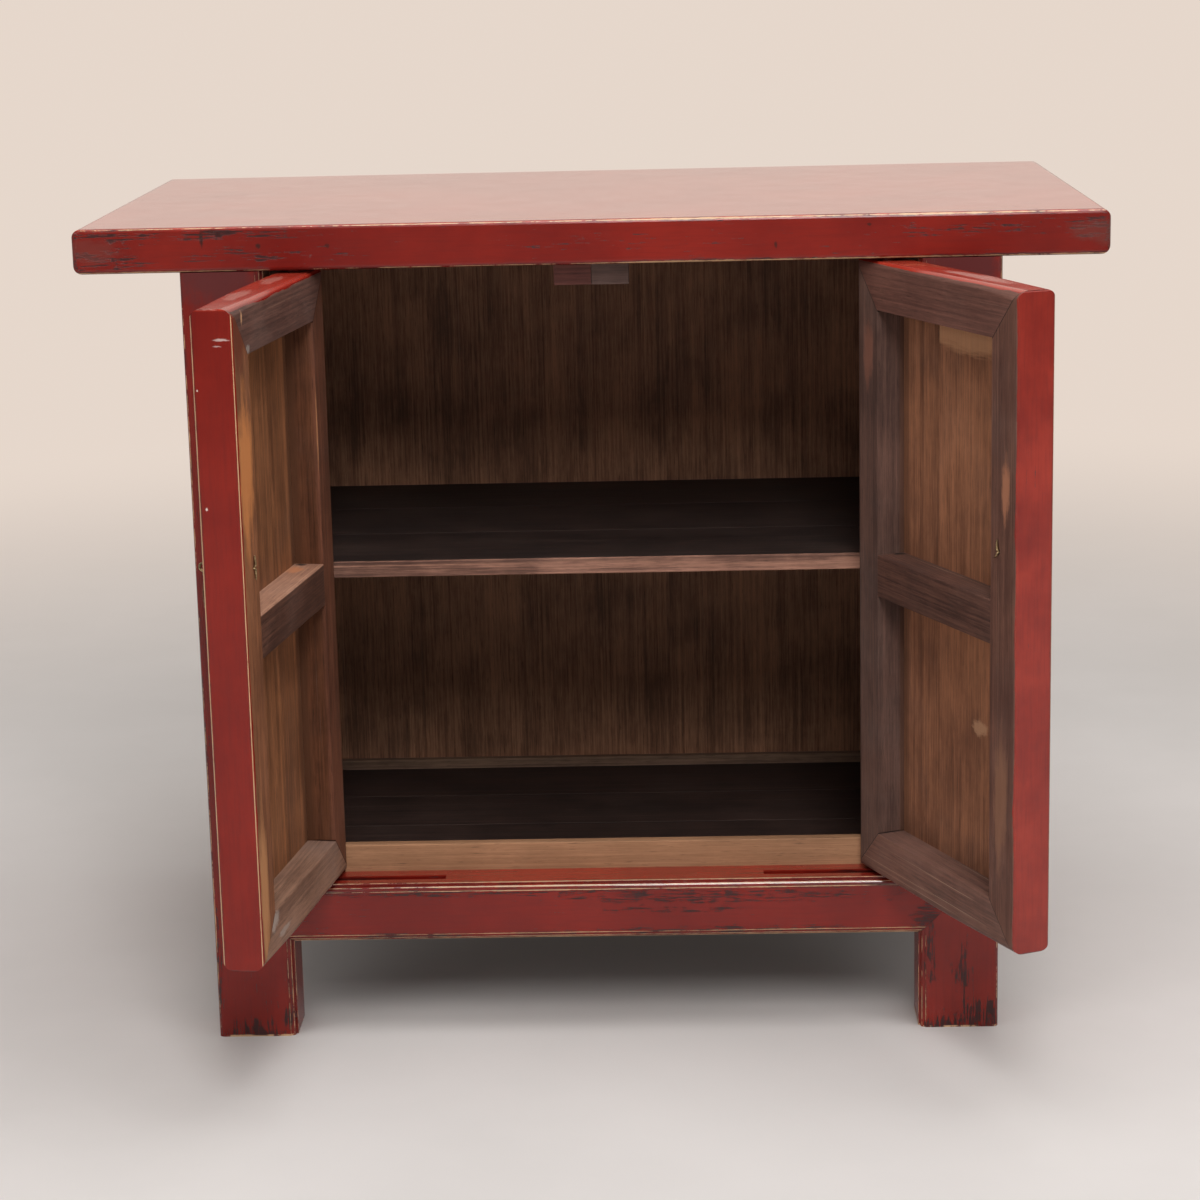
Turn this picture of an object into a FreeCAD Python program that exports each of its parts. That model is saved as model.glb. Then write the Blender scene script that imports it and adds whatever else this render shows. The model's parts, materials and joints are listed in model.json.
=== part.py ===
import FreeCAD, Part
import os
import re
import Sketcher

# A low East Asian sideboard: a thick board on four posts, two doors on wooden pivots, one shelf.
# X runs to the right, Y to the back and Z up, from the floor. The doors stand open, as at rest.
# Pieces are drawn with Y = 0 at the front face of the posts, then moved so that the box round
# the whole sideboard is centred on the origin.

os.makedirs("parts", exist_ok=True)
doc = FreeCAD.newDocument("Sideboard")

# Driving sizes in millimetres, angles in degrees
sizes = {
    # top board
    "board_side_overhang": 99, "board_front_overhang": 1, "board_back_overhang": 1,
    "board_thickness": 42, "board_corner_radius": 7, "board_edge_radius": 4.5,
    # carcase
    "post_height": 751, "body_width": 762, "body_depth": 548,
    "front_post_width": 77, "front_post_depth": 58, "back_post_width": 58, "back_post_depth": 55,
    "post_edge_radius": 5, "foot_edge_radius": 1, "small_edge_radius": 1,
    # bead along the edges of the opening, and the small square step beside it
    "bead_width": 4.5, "bead_setback": 1.2, "step_width": 2, "step_depth": 7,
    # rails
    "rail_bottom_height": 96, "rail_height": 57, "back_rail_height": 44, "mitre_thickness": 10,
    "top_rail_height": 50, "side_rail_thickness": 32, "side_rail_setback": 1, "back_rail_thickness": 42,
    # joints between fixed pieces
    "tenon_thickness": 16, "tenon_length": 30, "tenon_shoulder_width": 8, "front_tenon_setback": 18,
    "post_tenon_width": 30, "post_tenon_length": 18, "joint_gap": 0.1, "groove_depth": 8,
    # boards and panels
    "panel_thickness": 12, "panel_inset": 10, "back_panel_inset": 9, "board_gap": 0.4,
    "floor_thickness": 12, "floor_top_height": 129.5, "bearer_width": 36, "bearer_thickness": 18,
    "shelf_top_height": 456, "shelf_thickness": 16, "shelf_front_setback": 88,
    "cleat_thickness": 14, "cleat_height": 26,
    # stops that the closed doors meet
    "stop_height": 27, "stop_end_gap": 48, "stop_gap": 0.5,
    "head_stop_width": 35, "head_stop_depth": 22, "head_stop_height": 24,
    # doors
    "door_thickness": 38, "door_setback": 7.5, "door_side_gap": 2, "door_meeting_gap": 3,
    "door_foot_gap": 2.5, "door_head_gap": 2.5, "door_stile_width": 43, "door_top_rail_width": 45,
    "door_middle_rail_width": 40, "door_bottom_rail_width": 42, "middle_rail_top_height": 472,
    "hinge_outer_radius": 15, "hinge_inner_radius": 8, "free_edge_radius": 4,
    "door_edge_radius": 6, "door_end_radius": 2.5, "door_panel_thickness": 8.5,
    "door_panel_setback": 1.5, "panel_tongue_length": 7, "middle_tenon_length": 12,
    "left_open_angle": 98.5, "right_open_angle": 113.5,
    # pivots
    "pivot_inset": 25, "pivot_setback": 17, "pivot_radius": 6, "pivot_gap": 0.1,
    "foot_pivot_length": 10.5, "head_pivot_length": 16, "head_socket_depth": 24, "seat_gap": 0.3,
    "slot_length": 122, "slot_depth": 6,
    # brass pulls
    "pull_inset": 30, "pull_height": 518, "plate_radius": 15, "plate_thickness": 1.6,
    "plate_edge_radius": 0.6, "wire_radius": 1.3, "eye_radius": 4.2, "pin_bend_length": 10,
    "pin_bore_radius": 2.9, "leaf_length": 32, "leaf_width": 15, "leaf_thickness": 2.2,
    "leaf_boss_radius": 4.4, "leaf_bore_radius": 2.4, "leaf_seat_gap": 0.5,
    # how far cutters run past what they cut, and how near an edge lies to where it is picked
    "overrun": 5, "pick_reach": 0.02,
}
sheet = doc.addObject("Spreadsheet::Sheet", "Sizes")
for row, (name, number) in enumerate(sizes.items(), start=1):
    sheet.set(f"A{row}", name)
    sheet.set(f"B{row}", str(number))
    sheet.setAlias(f"B{row}", name)
doc.recompute()

# Counts and shares, chosen by hand
back_board_count = 5
floor_board_count = 4
shelf_board_count = 3
plank_share = 0.68
leaf_drop_share = 0.9
bead_share = 0.9
leg_share = 0.85
bearer_stub_shares = (0.8, 0.2)

# Places worked out from the sizes
board_side = "(body_width / 2 + board_side_overhang)"
board_back = "(body_depth + board_back_overhang)"
opening_half = "(body_width / 2 - front_post_width)"
back_opening_half = "(body_width / 2 - back_post_width)"
back_face = "(body_depth - back_post_depth)"
sill_top = "(rail_bottom_height + rail_height)"
top_rail_low = "(post_height - top_rail_height)"
side_outer = "(body_width / 2 - side_rail_setback)"
side_inner = "(body_width / 2 - side_rail_setback - side_rail_thickness)"
panel_outer = "(body_width / 2 - side_rail_setback - panel_inset)"
panel_inner = "(body_width / 2 - side_rail_setback - panel_inset - panel_thickness)"
side_tenon_outer = "(body_width / 2 - side_rail_setback - (side_rail_thickness - tenon_thickness) / 2)"
side_tenon_inner = "(body_width / 2 - side_rail_setback - (side_rail_thickness + tenon_thickness) / 2)"
back_panel_front = f"({back_face} + back_panel_inset)"
back_panel_rear = f"({back_face} + back_panel_inset + panel_thickness)"
back_tenon_front = f"({back_face} + (back_rail_thickness - tenon_thickness) / 2)"
back_tenon_rear = f"({back_face} + (back_rail_thickness + tenon_thickness) / 2)"
floor_low = "(floor_top_height - floor_thickness)"
shelf_low = "(shelf_top_height - shelf_thickness)"
door_inner_face = "(door_setback + door_thickness)"
door_width = f"({opening_half} - door_side_gap - door_meeting_gap / 2)"
door_bottom = f"({sill_top} + door_foot_gap)"
door_top = "(post_height - door_head_gap)"
pivot_x = f"({opening_half} - door_side_gap - pivot_inset)"
pivot_y = "(door_setback + pivot_setback)"
free_edge = f"({door_width} - pivot_inset)"


def lowest_corner(angle):
    """How far a door that stands open reaches to the front, past its pivot."""
    along = f"({free_edge} - free_edge_radius) * sin({angle} * 1 deg)"
    outer = f"(pivot_setback - free_edge_radius) * cos({angle} * 1 deg)"
    inner = f"(free_edge_radius + pivot_setback - door_thickness) * cos({angle} * 1 deg)"
    return f"({along} + max({outer}; {inner}) + free_edge_radius)"


front_reach = f"(max({lowest_corner('left_open_angle')}; {lowest_corner('right_open_angle')}) - {pivot_y})"
middle_y = f"(({board_back} - {front_reach}) / 2)"


# Drawing tools
def formula(text):
    """Turns the names of sizes into references to the sheet."""
    return re.sub(r"[a-z]\w*", lambda found: "Sizes." + found.group()
                  if found.group() in sizes else found.group(), str(text))


def value(text):
    """The number that a formula gives."""
    return float(sheet.evalExpression(formula(text)))


def bind(thing, **formulas):
    """Binds properties to formulas, with two underscores for a dot in a property's name."""
    for name, text in formulas.items():
        thing.setExpression(name.replace("__", "."), formula(text))


def rectangle(across, up):
    """Corners of a rectangle from two pairs of places."""
    return [(across[0], up[0]), (across[1], up[0]), (across[1], up[1]), (across[0], up[1])]


def mirrored(side, low, high):
    """A pair of places along X, on the left for side -1 and on the right for side 1."""
    return (f"-{high}", f"-{low}") if side < 0 else (low, high)


# Each plane's normal along the third axis, and whether a pad has to turn round to run upwards
plane_turns = {"XY_Plane": (1, False), "XZ_Plane": (-1, True), "YZ_Plane": (1, False)}


def new_body(name):
    return doc.addObject("PartDesign::Body", name)


def new_sketch(body, plane, outline, start):
    """A closed outline of straight lines, or one circle as (x, y, radius), on a raised plane."""
    sketch = body.newObject("Sketcher::SketchObject", body.Name + "_outline")
    origin_plane = [part for part in body.Origin.OriginFeatures if part.Role == plane][0]
    sketch.AttachmentSupport = [(origin_plane, "")]
    sketch.MapMode = "FlatFace"
    bind(sketch, AttachmentOffset__Base__z=f"{plane_turns[plane][0]} * ({start})")
    if isinstance(outline, tuple):
        x, y, radius = outline
        centre = FreeCAD.Vector(value(x), value(y), 0)
        sketch.addGeometry(Part.Circle(centre, FreeCAD.Vector(0, 0, 1), value(radius)), False)
        places = {"centre": (0, 3, x, y)}
        limit = sketch.addConstraint(Sketcher.Constraint("Radius", 0, value(radius)))
        sketch.renameConstraint(limit, "radius")
        bind(sketch, Constraints__radius=radius)
    else:
        corners = [FreeCAD.Vector(value(x), value(y), 0) for x, y in outline]
        for index, corner in enumerate(corners):
            following = corners[(index + 1) % len(corners)]
            sketch.addGeometry(Part.LineSegment(corner, following), False)
        for index in range(len(corners)):
            following = (index + 1) % len(corners)
            sketch.addConstraint(Sketcher.Constraint("Coincident", index, 2, following, 1))
        places = {f"corner{index}": (index, 1, x, y) for index, (x, y) in enumerate(outline)}
    for name, (geometry, point, x, y) in places.items():
        for axis, kind, text in (("x", "DistanceX", x), ("y", "DistanceY", y)):
            limit = sketch.addConstraint(
                Sketcher.Constraint(kind, -1, 1, geometry, point, value(text)))
            sketch.renameConstraint(limit, f"{name}_{axis}")
            bind(sketch, **{f"Constraints__{name}_{axis}": text})
    return sketch


def pad(body, plane, outline, span):
    """Adds an outline as a solid that runs from the first place of the span to the second."""
    feature = body.newObject("PartDesign::Pad", body.Name + "_pad")
    feature.Profile = new_sketch(body, plane, outline, span[0])
    feature.Reversed = plane_turns[plane][1]
    bind(feature, Length=f"({span[1]}) - ({span[0]})")
    doc.recompute()
    return feature


def pocket(body, plane, outline, span):
    """Cuts an outline out of the body over a span, and makes sure that it took wood away."""
    before = body.Shape.Volume
    feature = body.newObject("PartDesign::Pocket", body.Name + "_pocket")
    feature.Profile = new_sketch(body, plane, outline, span[0])
    feature.Reversed = not plane_turns[plane][1]
    bind(feature, Length=f"({span[1]}) - ({span[0]})")
    doc.recompute()
    if body.Shape.Volume >= before:
        raise RuntimeError(f"{body.Name}: a pocket cuts nothing")
    return feature


def edges_where(shape, along, **places):
    """Names of straight or round edges that run along an axis and pass the given places."""
    found = []
    reach = value("pick_reach")
    for number, edge in enumerate(shape.Edges, start=1):
        box = edge.BoundBox
        lengths = {"x": box.XLength, "y": box.YLength, "z": box.ZLength}
        middles = {"x": box.Center.x, "y": box.Center.y, "z": box.Center.z}
        straight = all(lengths[axis] < reach for axis in "xyz" if axis not in along)
        near = all(any(abs(middles[axis] - value(text)) < reach for text in texts)
                   for axis, texts in places.items())
        if straight and near:
            found.append(f"Edge{number}")
    return found


def round_edges(body, radius, along, **places):
    """Rounds the picked edges of a body with one radius."""
    names = edges_where(body.Shape, along, **places)
    if not names:
        raise RuntimeError(f"{body.Name}: no edge to round")
    base = body.Tip
    feature = body.newObject("PartDesign::Fillet", body.Name + "_fillet")
    feature.Base = (base, names)
    bind(feature, Radius=radius)
    doc.recompute()
    return feature


def block(name, across, deep, up):
    """A plain box, used as a cutter or joined to another solid."""
    box = doc.addObject("Part::Box", name)
    bind(box, Length=f"({across[1]}) - ({across[0]})", Width=f"({deep[1]}) - ({deep[0]})",
         Height=f"({up[1]}) - ({up[0]})", Placement__Base__x=across[0],
         Placement__Base__y=deep[0], Placement__Base__z=up[0])
    return box


turns = {"x": FreeCAD.Rotation(FreeCAD.Vector(0, 1, 0), 90),
         "y": FreeCAD.Rotation(FreeCAD.Vector(1, 0, 0), -90),
         "z": FreeCAD.Rotation()}


def rod(name, radius, start, length, along="z"):
    """A round bar from a start point along an axis."""
    bar = doc.addObject("Part::Cylinder", name)
    bar.Placement.Rotation = turns[along]
    bind(bar, Radius=radius, Height=length, Placement__Base__x=start[0],
         Placement__Base__y=start[1], Placement__Base__z=start[2])
    return bar


def joined(name, *pieces):
    whole = doc.addObject("Part::MultiFuse", name)
    whole.Shapes = list(pieces)
    whole.Refine = True
    return whole


def shared(name, first, second):
    common = doc.addObject("Part::Common", name)
    common.Base = first
    common.Tool = second
    return common


def without(name, base, *cutters):
    rest = doc.addObject("Part::Cut", name)
    rest.Base = base
    rest.Tool = cutters[0] if len(cutters) == 1 else joined(name + "_cutters", *cutters)
    return rest


sub_parts = []


def finish(thing, label):
    """Names a sub-part of the carcase and moves it to the common origin."""
    thing.Label = label
    bind(thing, Placement__Base__y=f"-{middle_y}")
    sub_parts.append(thing)


# Top board, with mortises for the posts' tenons and round holes for the doors' upper pivots
board = new_body("TopBoard")
pad(board, "XY_Plane",
    rectangle((f"-{board_side}", board_side), ("-board_front_overhang", board_back)),
    ("post_height", "post_height + board_thickness"))
round_edges(board, "board_corner_radius", "z")
flat_levels = ["post_height", "post_height + board_thickness"]
round_edges(board, "board_edge_radius", "xy", z=flat_levels)

# Stub tenons stand in the middle of the posts' tops
post_plans = {
    "front": ((opening_half, "(body_width / 2)"), ("0", "front_post_depth")),
    "back": ((back_opening_half, "(body_width / 2)"), (back_face, "body_depth")),
}


def post_tenon(side, place, spare):
    """The square of a post's upper tenon, with spare room round it for the mortise."""
    (inner, outer), (front, rear) = post_plans[place]
    half = f"(post_tenon_width / 2 + {spare})"
    middle_x = f"({side} * ({inner} + {outer}) / 2)"
    middle_depth = f"(({front} + {rear}) / 2)"
    return rectangle((f"({middle_x} - {half})", f"({middle_x} + {half})"),
                     (f"({middle_depth} - {half})", f"({middle_depth} + {half})"))


for side in (-1, 1):
    for place in post_plans:
        pocket(board, "XY_Plane", post_tenon(side, place, "joint_gap"),
               ("post_height", "post_height + post_tenon_length + joint_gap"))
    pocket(board, "XY_Plane", (f"{side} * {pivot_x}", pivot_y, "pivot_radius + pivot_gap"),
           ("post_height", "post_height + head_socket_depth"))
finish(board, "top_board")

# The opening's moulding, as distances in from the edge and back from the face: the flat face
# ends in a small drop, then comes the bead, and a square step runs along the edge itself.
moulding = [("(step_width + bead_width)", "0"), ("(step_width + bead_width)", "bead_setback"),
            ("step_width", "bead_setback"), ("step_width", "step_depth"), ("0", "step_depth")]
bead_round = f"bead_width * {bead_share}"

# Front rail: moulded below and above, where its top is the sill on which the doors close.
# Its face runs out in a mitred point at each end, with a tenon behind it.
point_long = "(rail_height / 2)"
point_end = f"({opening_half} + {point_long})"
front_rail = new_body("FrontRail")
lower_edge = [(depth, f"(rail_bottom_height + {inward})") for inward, depth in moulding]
upper_edge = [(depth, f"({sill_top} - {inward})") for inward, depth in moulding]
pad(front_rail, "YZ_Plane",
    lower_edge + [("front_post_depth", "rail_bottom_height"), ("front_post_depth", sill_top)]
    + upper_edge[::-1], (f"-{point_end}", point_end))
bead_levels = ["rail_bottom_height + step_width", f"{sill_top} - step_width"]
round_edges(front_rail, bead_round, "x", y=["bead_setback"], z=bead_levels)
front_tenon = {
    "deep": ("front_tenon_setback", "(front_tenon_setback + tenon_thickness)"),
    "up": ("(rail_bottom_height + tenon_shoulder_width)",
           f"({sill_top} - 2 * tenon_shoulder_width)"),
}
for side in (-1, 1):
    far = f"{side} * ({point_end} + overrun)"
    near = f"{side} * ({opening_half} - overrun)"
    pocket(front_rail, "XZ_Plane",
           [(near, "rail_bottom_height - overrun"), (far, "rail_bottom_height - overrun"),
            (far, f"rail_bottom_height + {point_long} + overrun")],
           ("-overrun", "front_post_depth + overrun"))
    pocket(front_rail, "XZ_Plane",
           [(near, f"{sill_top} + overrun"), (far, f"{sill_top} - {point_long} - overrun"),
            (far, f"{sill_top} + overrun")], ("-overrun", "front_post_depth + overrun"))
    pocket(front_rail, "XZ_Plane",
           rectangle(mirrored(side, opening_half, f"({point_end} + overrun)"),
                     ("rail_bottom_height - overrun", f"{sill_top} + overrun")),
           ("mitre_thickness", "front_post_depth + overrun"))
    pad(front_rail, "XZ_Plane",
        rectangle(mirrored(side, f"({opening_half} - overrun)", f"({opening_half} + tenon_length)"),
                  front_tenon["up"]), front_tenon["deep"])
    pocket(front_rail, "XY_Plane", (f"{side} * {pivot_x}", pivot_y, "pivot_radius + pivot_gap"),
           (f"{sill_top} + door_foot_gap - foot_pivot_length - seat_gap", f"{sill_top} + overrun"))
    pocket(front_rail, "XY_Plane",
           rectangle(mirrored(side, f"({pivot_x} - slot_length)", pivot_x),
                     (f"{pivot_y} - pivot_radius - pivot_gap",
                      f"{pivot_y} + pivot_radius + pivot_gap")),
           (f"{sill_top} - slot_depth", f"{sill_top} + overrun"))

# A bearer under the floor is let into the front and back rails
bearer_half = ("-bearer_width / 2", "bearer_width / 2")
bearer_up = (f"({floor_low} - bearer_thickness)", floor_low)
bearer_stub_up = tuple(f"({floor_low} - bearer_thickness * {share})" for share in bearer_stub_shares)
stub = "groove_depth"
pocket(front_rail, "XZ_Plane", rectangle(bearer_half, bearer_stub_up),
       (f"front_post_depth - {stub} - joint_gap", "front_post_depth + overrun"))
finish(front_rail, "front_bottom_rail")

# Front posts: the same moulding down the inner edge, and a mitred notch for the rail's point
for side, name in ((-1, "left"), (1, "right")):
    post = new_body(name.capitalize() + "FrontPost")
    inner = f"{side} * {opening_half}"
    outer = f"{side} * body_width / 2"
    pad(post, "XY_Plane",
        [(f"{side} * ({opening_half} + {inward})", depth) for inward, depth in moulding]
        + [(inner, "front_post_depth"), (outer, "front_post_depth"), (outer, "0")],
        ("0", "post_height"))
    round_edges(post, "post_edge_radius", "z", x=[outer], y=["0"])
    round_edges(post, bead_round, "z", x=[f"{side} * ({opening_half} + step_width)"],
                y=["bead_setback"])
    round_edges(post, "small_edge_radius", "z", x=[outer, inner], y=["front_post_depth"])
    pad(post, "XY_Plane", post_tenon(side, "front", "0"),
        ("post_height", "post_height + post_tenon_length"))
    pocket(post, "XZ_Plane",
           [(f"{side} * ({opening_half} - overrun)", "rail_bottom_height - overrun"),
            (f"{side} * {point_end}", f"rail_bottom_height + {point_long}"),
            (f"{side} * ({opening_half} - overrun)", f"{sill_top} + overrun")],
           ("-overrun", "mitre_thickness + joint_gap"))
    pocket(post, "XZ_Plane",
           rectangle(mirrored(side, f"({opening_half} - overrun)",
                              f"({opening_half} + tenon_length + joint_gap)"),
                     (f"{front_tenon['up'][0]} - joint_gap", f"{front_tenon['up'][1]} + joint_gap")),
           (f"{front_tenon['deep'][0]} - joint_gap", f"{front_tenon['deep'][1]} + joint_gap"))
    for low, high in ((("rail_bottom_height + tenon_shoulder_width"), f"{sill_top} - groove_depth"),
                      (f"{top_rail_low} + groove_depth", "post_height - tenon_shoulder_width")):
        pocket(post, "XZ_Plane",
               rectangle(mirrored(side, f"({side_tenon_inner} - joint_gap)",
                                  f"({side_tenon_outer} + joint_gap)"),
                         (f"{low} - joint_gap", f"{high} + joint_gap")),
               ("front_post_depth - tenon_length - joint_gap", "front_post_depth + overrun"))
    pocket(post, "XZ_Plane",
           rectangle(mirrored(side, f"({panel_inner} - joint_gap)", f"({panel_outer} + joint_gap)"),
                     (f"{sill_top} - groove_depth", f"{top_rail_low} + groove_depth")),
           ("front_post_depth - groove_depth", "front_post_depth + overrun"))
    finish(post, name + "_front_post")

# Back posts, grooved for the side panel and for the back boards
back_spans = {"bottom": ("rail_bottom_height", "(rail_bottom_height + back_rail_height)"),
              "top": (top_rail_low, "post_height")}
for side, name in ((-1, "left"), (1, "right")):
    post = new_body(name.capitalize() + "BackPost")
    outer = f"{side} * body_width / 2"
    pad(post, "XY_Plane",
        rectangle(mirrored(side, back_opening_half, "(body_width / 2)"), (back_face, "body_depth")),
        ("0", "post_height"))
    round_edges(post, "post_edge_radius", "z", x=[outer], y=["body_depth"])
    round_edges(post, "foot_edge_radius", "xy", z=["0"])
    pad(post, "XY_Plane", post_tenon(side, "back", "0"),
        ("post_height", "post_height + post_tenon_length"))
    for low, high in ((("rail_bottom_height + tenon_shoulder_width"), f"{sill_top} - groove_depth"),
                      (f"{top_rail_low} + groove_depth", "post_height - tenon_shoulder_width")):
        pocket(post, "XZ_Plane",
               rectangle(mirrored(side, f"({side_tenon_inner} - joint_gap)",
                                  f"({side_tenon_outer} + joint_gap)"),
                         (f"{low} - joint_gap", f"{high} + joint_gap")),
               (f"{back_face} - overrun", f"{back_face} + tenon_length + joint_gap"))
    pocket(post, "XZ_Plane",
           rectangle(mirrored(side, f"({panel_inner} - joint_gap)", f"({panel_outer} + joint_gap)"),
                     (f"{sill_top} - groove_depth", f"{top_rail_low} + groove_depth")),
           (f"{back_face} - overrun", f"{back_face} + groove_depth"))
    for low, high in back_spans.values():
        pocket(post, "XZ_Plane",
               rectangle(mirrored(side, f"({back_opening_half} - overrun)",
                                  f"({back_opening_half} + tenon_length + joint_gap)"),
                         (f"{low} + tenon_shoulder_width - joint_gap",
                          f"{high} - tenon_shoulder_width + joint_gap")),
               (f"{back_tenon_front} - joint_gap", f"{back_tenon_rear} + joint_gap"))
    pocket(post, "XZ_Plane",
           rectangle(mirrored(side, f"({back_opening_half} - overrun)",
                              f"({back_opening_half} + groove_depth)"),
                     ("rail_bottom_height + back_rail_height - groove_depth",
                      f"{top_rail_low} + groove_depth")),
           (f"{back_panel_front} - joint_gap", f"{back_panel_rear} + joint_gap"))
    finish(post, name + "_back_post")

# Back rails, below and above the back boards
for place, (low, high) in back_spans.items():
    rail = new_body("Back" + place.capitalize() + "Rail")
    pad(rail, "XZ_Plane", rectangle((f"-{back_opening_half}", back_opening_half), (low, high)),
        (back_face, f"{back_face} + back_rail_thickness"))
    round_edges(rail, "small_edge_radius", "x", y=[back_face], z=[low, high])
    for side in (-1, 1):
        pad(rail, "XZ_Plane",
            rectangle(mirrored(side, back_opening_half, f"({back_opening_half} + tenon_length)"),
                      (f"{low} + tenon_shoulder_width", f"{high} - tenon_shoulder_width")),
            (back_tenon_front, back_tenon_rear))
    groove = {"bottom": (f"{high} - groove_depth", f"{high} + overrun"),
              "top": (f"{low} - overrun", f"{low} + groove_depth")}[place]
    pocket(rail, "XZ_Plane",
           rectangle((f"-({back_opening_half})", f"{back_opening_half}"), groove),
           (f"{back_panel_front} - joint_gap", f"{back_panel_rear} + joint_gap"))
    if place == "bottom":
        pocket(rail, "XZ_Plane", rectangle(bearer_half, bearer_stub_up),
               (f"{back_face} - overrun", f"{back_face} + {stub} + joint_gap"))
    finish(rail, f"back_{place}_rail")

# Side rails: the lower ones carry the floor's ends, and both are grooved for the side panel
for side, name in ((-1, "left"), (1, "right")):
    for place, low, high in (("bottom", "rail_bottom_height", sill_top),
                             ("top", top_rail_low, "post_height")):
        rail = new_body(name.capitalize() + "Side" + place.capitalize() + "Rail")
        pad(rail, "XZ_Plane", rectangle(mirrored(side, side_inner, side_outer), (low, high)),
            ("front_post_depth", back_face))
        round_edges(rail, "small_edge_radius", "y", x=[f"{side} * {side_outer}"], z=[low, high])
        if place == "bottom":
            tenon = ("rail_bottom_height + tenon_shoulder_width", f"{sill_top} - groove_depth")
            groove = (f"{high} - groove_depth", f"{high} + overrun")
        else:
            tenon = (f"{top_rail_low} + groove_depth", "post_height - tenon_shoulder_width")
            groove = (f"{low} - overrun", f"{low} + groove_depth")
        for span in (("front_post_depth - tenon_length", "front_post_depth"),
                     (back_face, f"{back_face} + tenon_length")):
            pad(rail, "XZ_Plane",
                rectangle(mirrored(side, side_tenon_inner, side_tenon_outer), tenon), span)
        pocket(rail, "XZ_Plane",
               rectangle(mirrored(side, f"({panel_inner} - joint_gap)",
                                  f"({panel_outer} + joint_gap)"), groove),
               ("front_post_depth", back_face))
        if place == "bottom":
            pocket(rail, "XZ_Plane",
                   rectangle(mirrored(side, f"({side_inner} - overrun)",
                                      f"({side_inner} + groove_depth)"),
                             (f"{floor_low} - joint_gap", "floor_top_height + joint_gap")),
                   ("front_post_depth", back_face))
        finish(rail, f"{name}_side_{place}_rail")

    # Side panel, loose in its grooves, and the cleat inside it that carries the shelf
    panel = new_body(name.capitalize() + "SidePanel")
    pad(panel, "XZ_Plane",
        rectangle(mirrored(side, panel_inner, panel_outer),
                  (f"{sill_top} - groove_depth + joint_gap",
                   f"{top_rail_low} + groove_depth - joint_gap")),
        ("front_post_depth - groove_depth + joint_gap", f"{back_face} + groove_depth - joint_gap"))
    finish(panel, name + "_side_panel")

    cleat = new_body(name.capitalize() + "ShelfCleat")
    pad(cleat, "XZ_Plane",
        rectangle(mirrored(side, f"({panel_inner} - cleat_thickness)", panel_inner),
                  (f"{shelf_low} - cleat_height", shelf_low)), ("front_post_depth", back_face))
    round_edges(cleat, "small_edge_radius", "y", x=[f"{side} * ({panel_inner} - cleat_thickness)"])
    finish(cleat, name + "_shelf_cleat")


def row_of_boards(label, count, plane, across, up, span, gap="0", rounded=""):
    """Boards side by side along X or Y, each one a sub-part. Open joints have rounded edges."""
    low, high = across
    step = f"(({high} - {low} + {gap}) / {count})"
    for number in range(count):
        start = f"({low} + {number} * {step})"
        piece = new_body(label.title().replace("_", "") + str(number + 1))
        pad(piece, plane, rectangle((start, f"({start} + {step} - {gap})"), up), span)
        if rounded:
            round_edges(piece, "small_edge_radius", rounded)
        finish(piece, f"{label}_{number + 1}")


# Back boards stand upright in the grooves of the back posts and rails, glued edge to edge
row_of_boards("back_board", back_board_count, "XZ_Plane",
              (f"-({back_opening_half} + groove_depth - joint_gap)",
               f"({back_opening_half} + groove_depth - joint_gap)"),
              ("rail_bottom_height + back_rail_height - groove_depth + joint_gap",
               f"{top_rail_low} + groove_depth - joint_gap"),
              (back_panel_front, back_panel_rear))

# Floor boards lie from side to side, with their ends in the side rails and a bearer at mid length
row_of_boards("floor_board", floor_board_count, "YZ_Plane",
              ("(front_post_depth + board_gap)", f"({back_face} - board_gap)"),
              (floor_low, "floor_top_height"),
              (f"-({side_inner} + groove_depth - joint_gap)",
               f"{side_inner} + groove_depth - joint_gap"), "board_gap", "x")
bearer = new_body("FloorBearer")
pad(bearer, "XZ_Plane", rectangle(bearer_half, bearer_up), ("front_post_depth", back_face))
pad(bearer, "XZ_Plane", rectangle(bearer_half, bearer_stub_up),
    (f"front_post_depth - {stub}", f"{back_face} + {stub}"))
finish(bearer, "floor_bearer")

# Shelf boards lie on the two cleats
row_of_boards("shelf_board", shelf_board_count, "YZ_Plane",
              ("shelf_front_setback", f"({back_face} - board_gap)"), (shelf_low, "shelf_top_height"),
              (f"-({panel_inner} - board_gap)", f"{panel_inner} - board_gap"), "board_gap", "x")

# A raw strip on the sill stops the closed doors below, and two small blocks stop them above
stop_front = f"({door_inner_face} + stop_gap)"
stop_half = f"({opening_half} - stop_end_gap)"
strip = new_body("DoorStopStrip")
pad(strip, "XZ_Plane", rectangle((f"-{stop_half}", stop_half), (sill_top, f"{sill_top} + stop_height")),
    (stop_front, "front_post_depth"))
round_edges(strip, "small_edge_radius", "x", z=[f"{sill_top} + stop_height"])
finish(strip, "door_stop_strip")
for side, name in ((-1, "left"), (1, "right")):
    head_stop = new_body(name.capitalize() + "HeadStop")
    pad(head_stop, "XZ_Plane",
        rectangle(mirrored(side, "(board_gap / 2)", "(board_gap / 2 + head_stop_width)"),
                  ("post_height - head_stop_height", "post_height")),
        (stop_front, f"{stop_front} + head_stop_depth"))
    round_edges(head_stop, "small_edge_radius", "xy", z=["post_height - head_stop_height"])
    finish(head_stop, name + "_head_stop")

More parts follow.
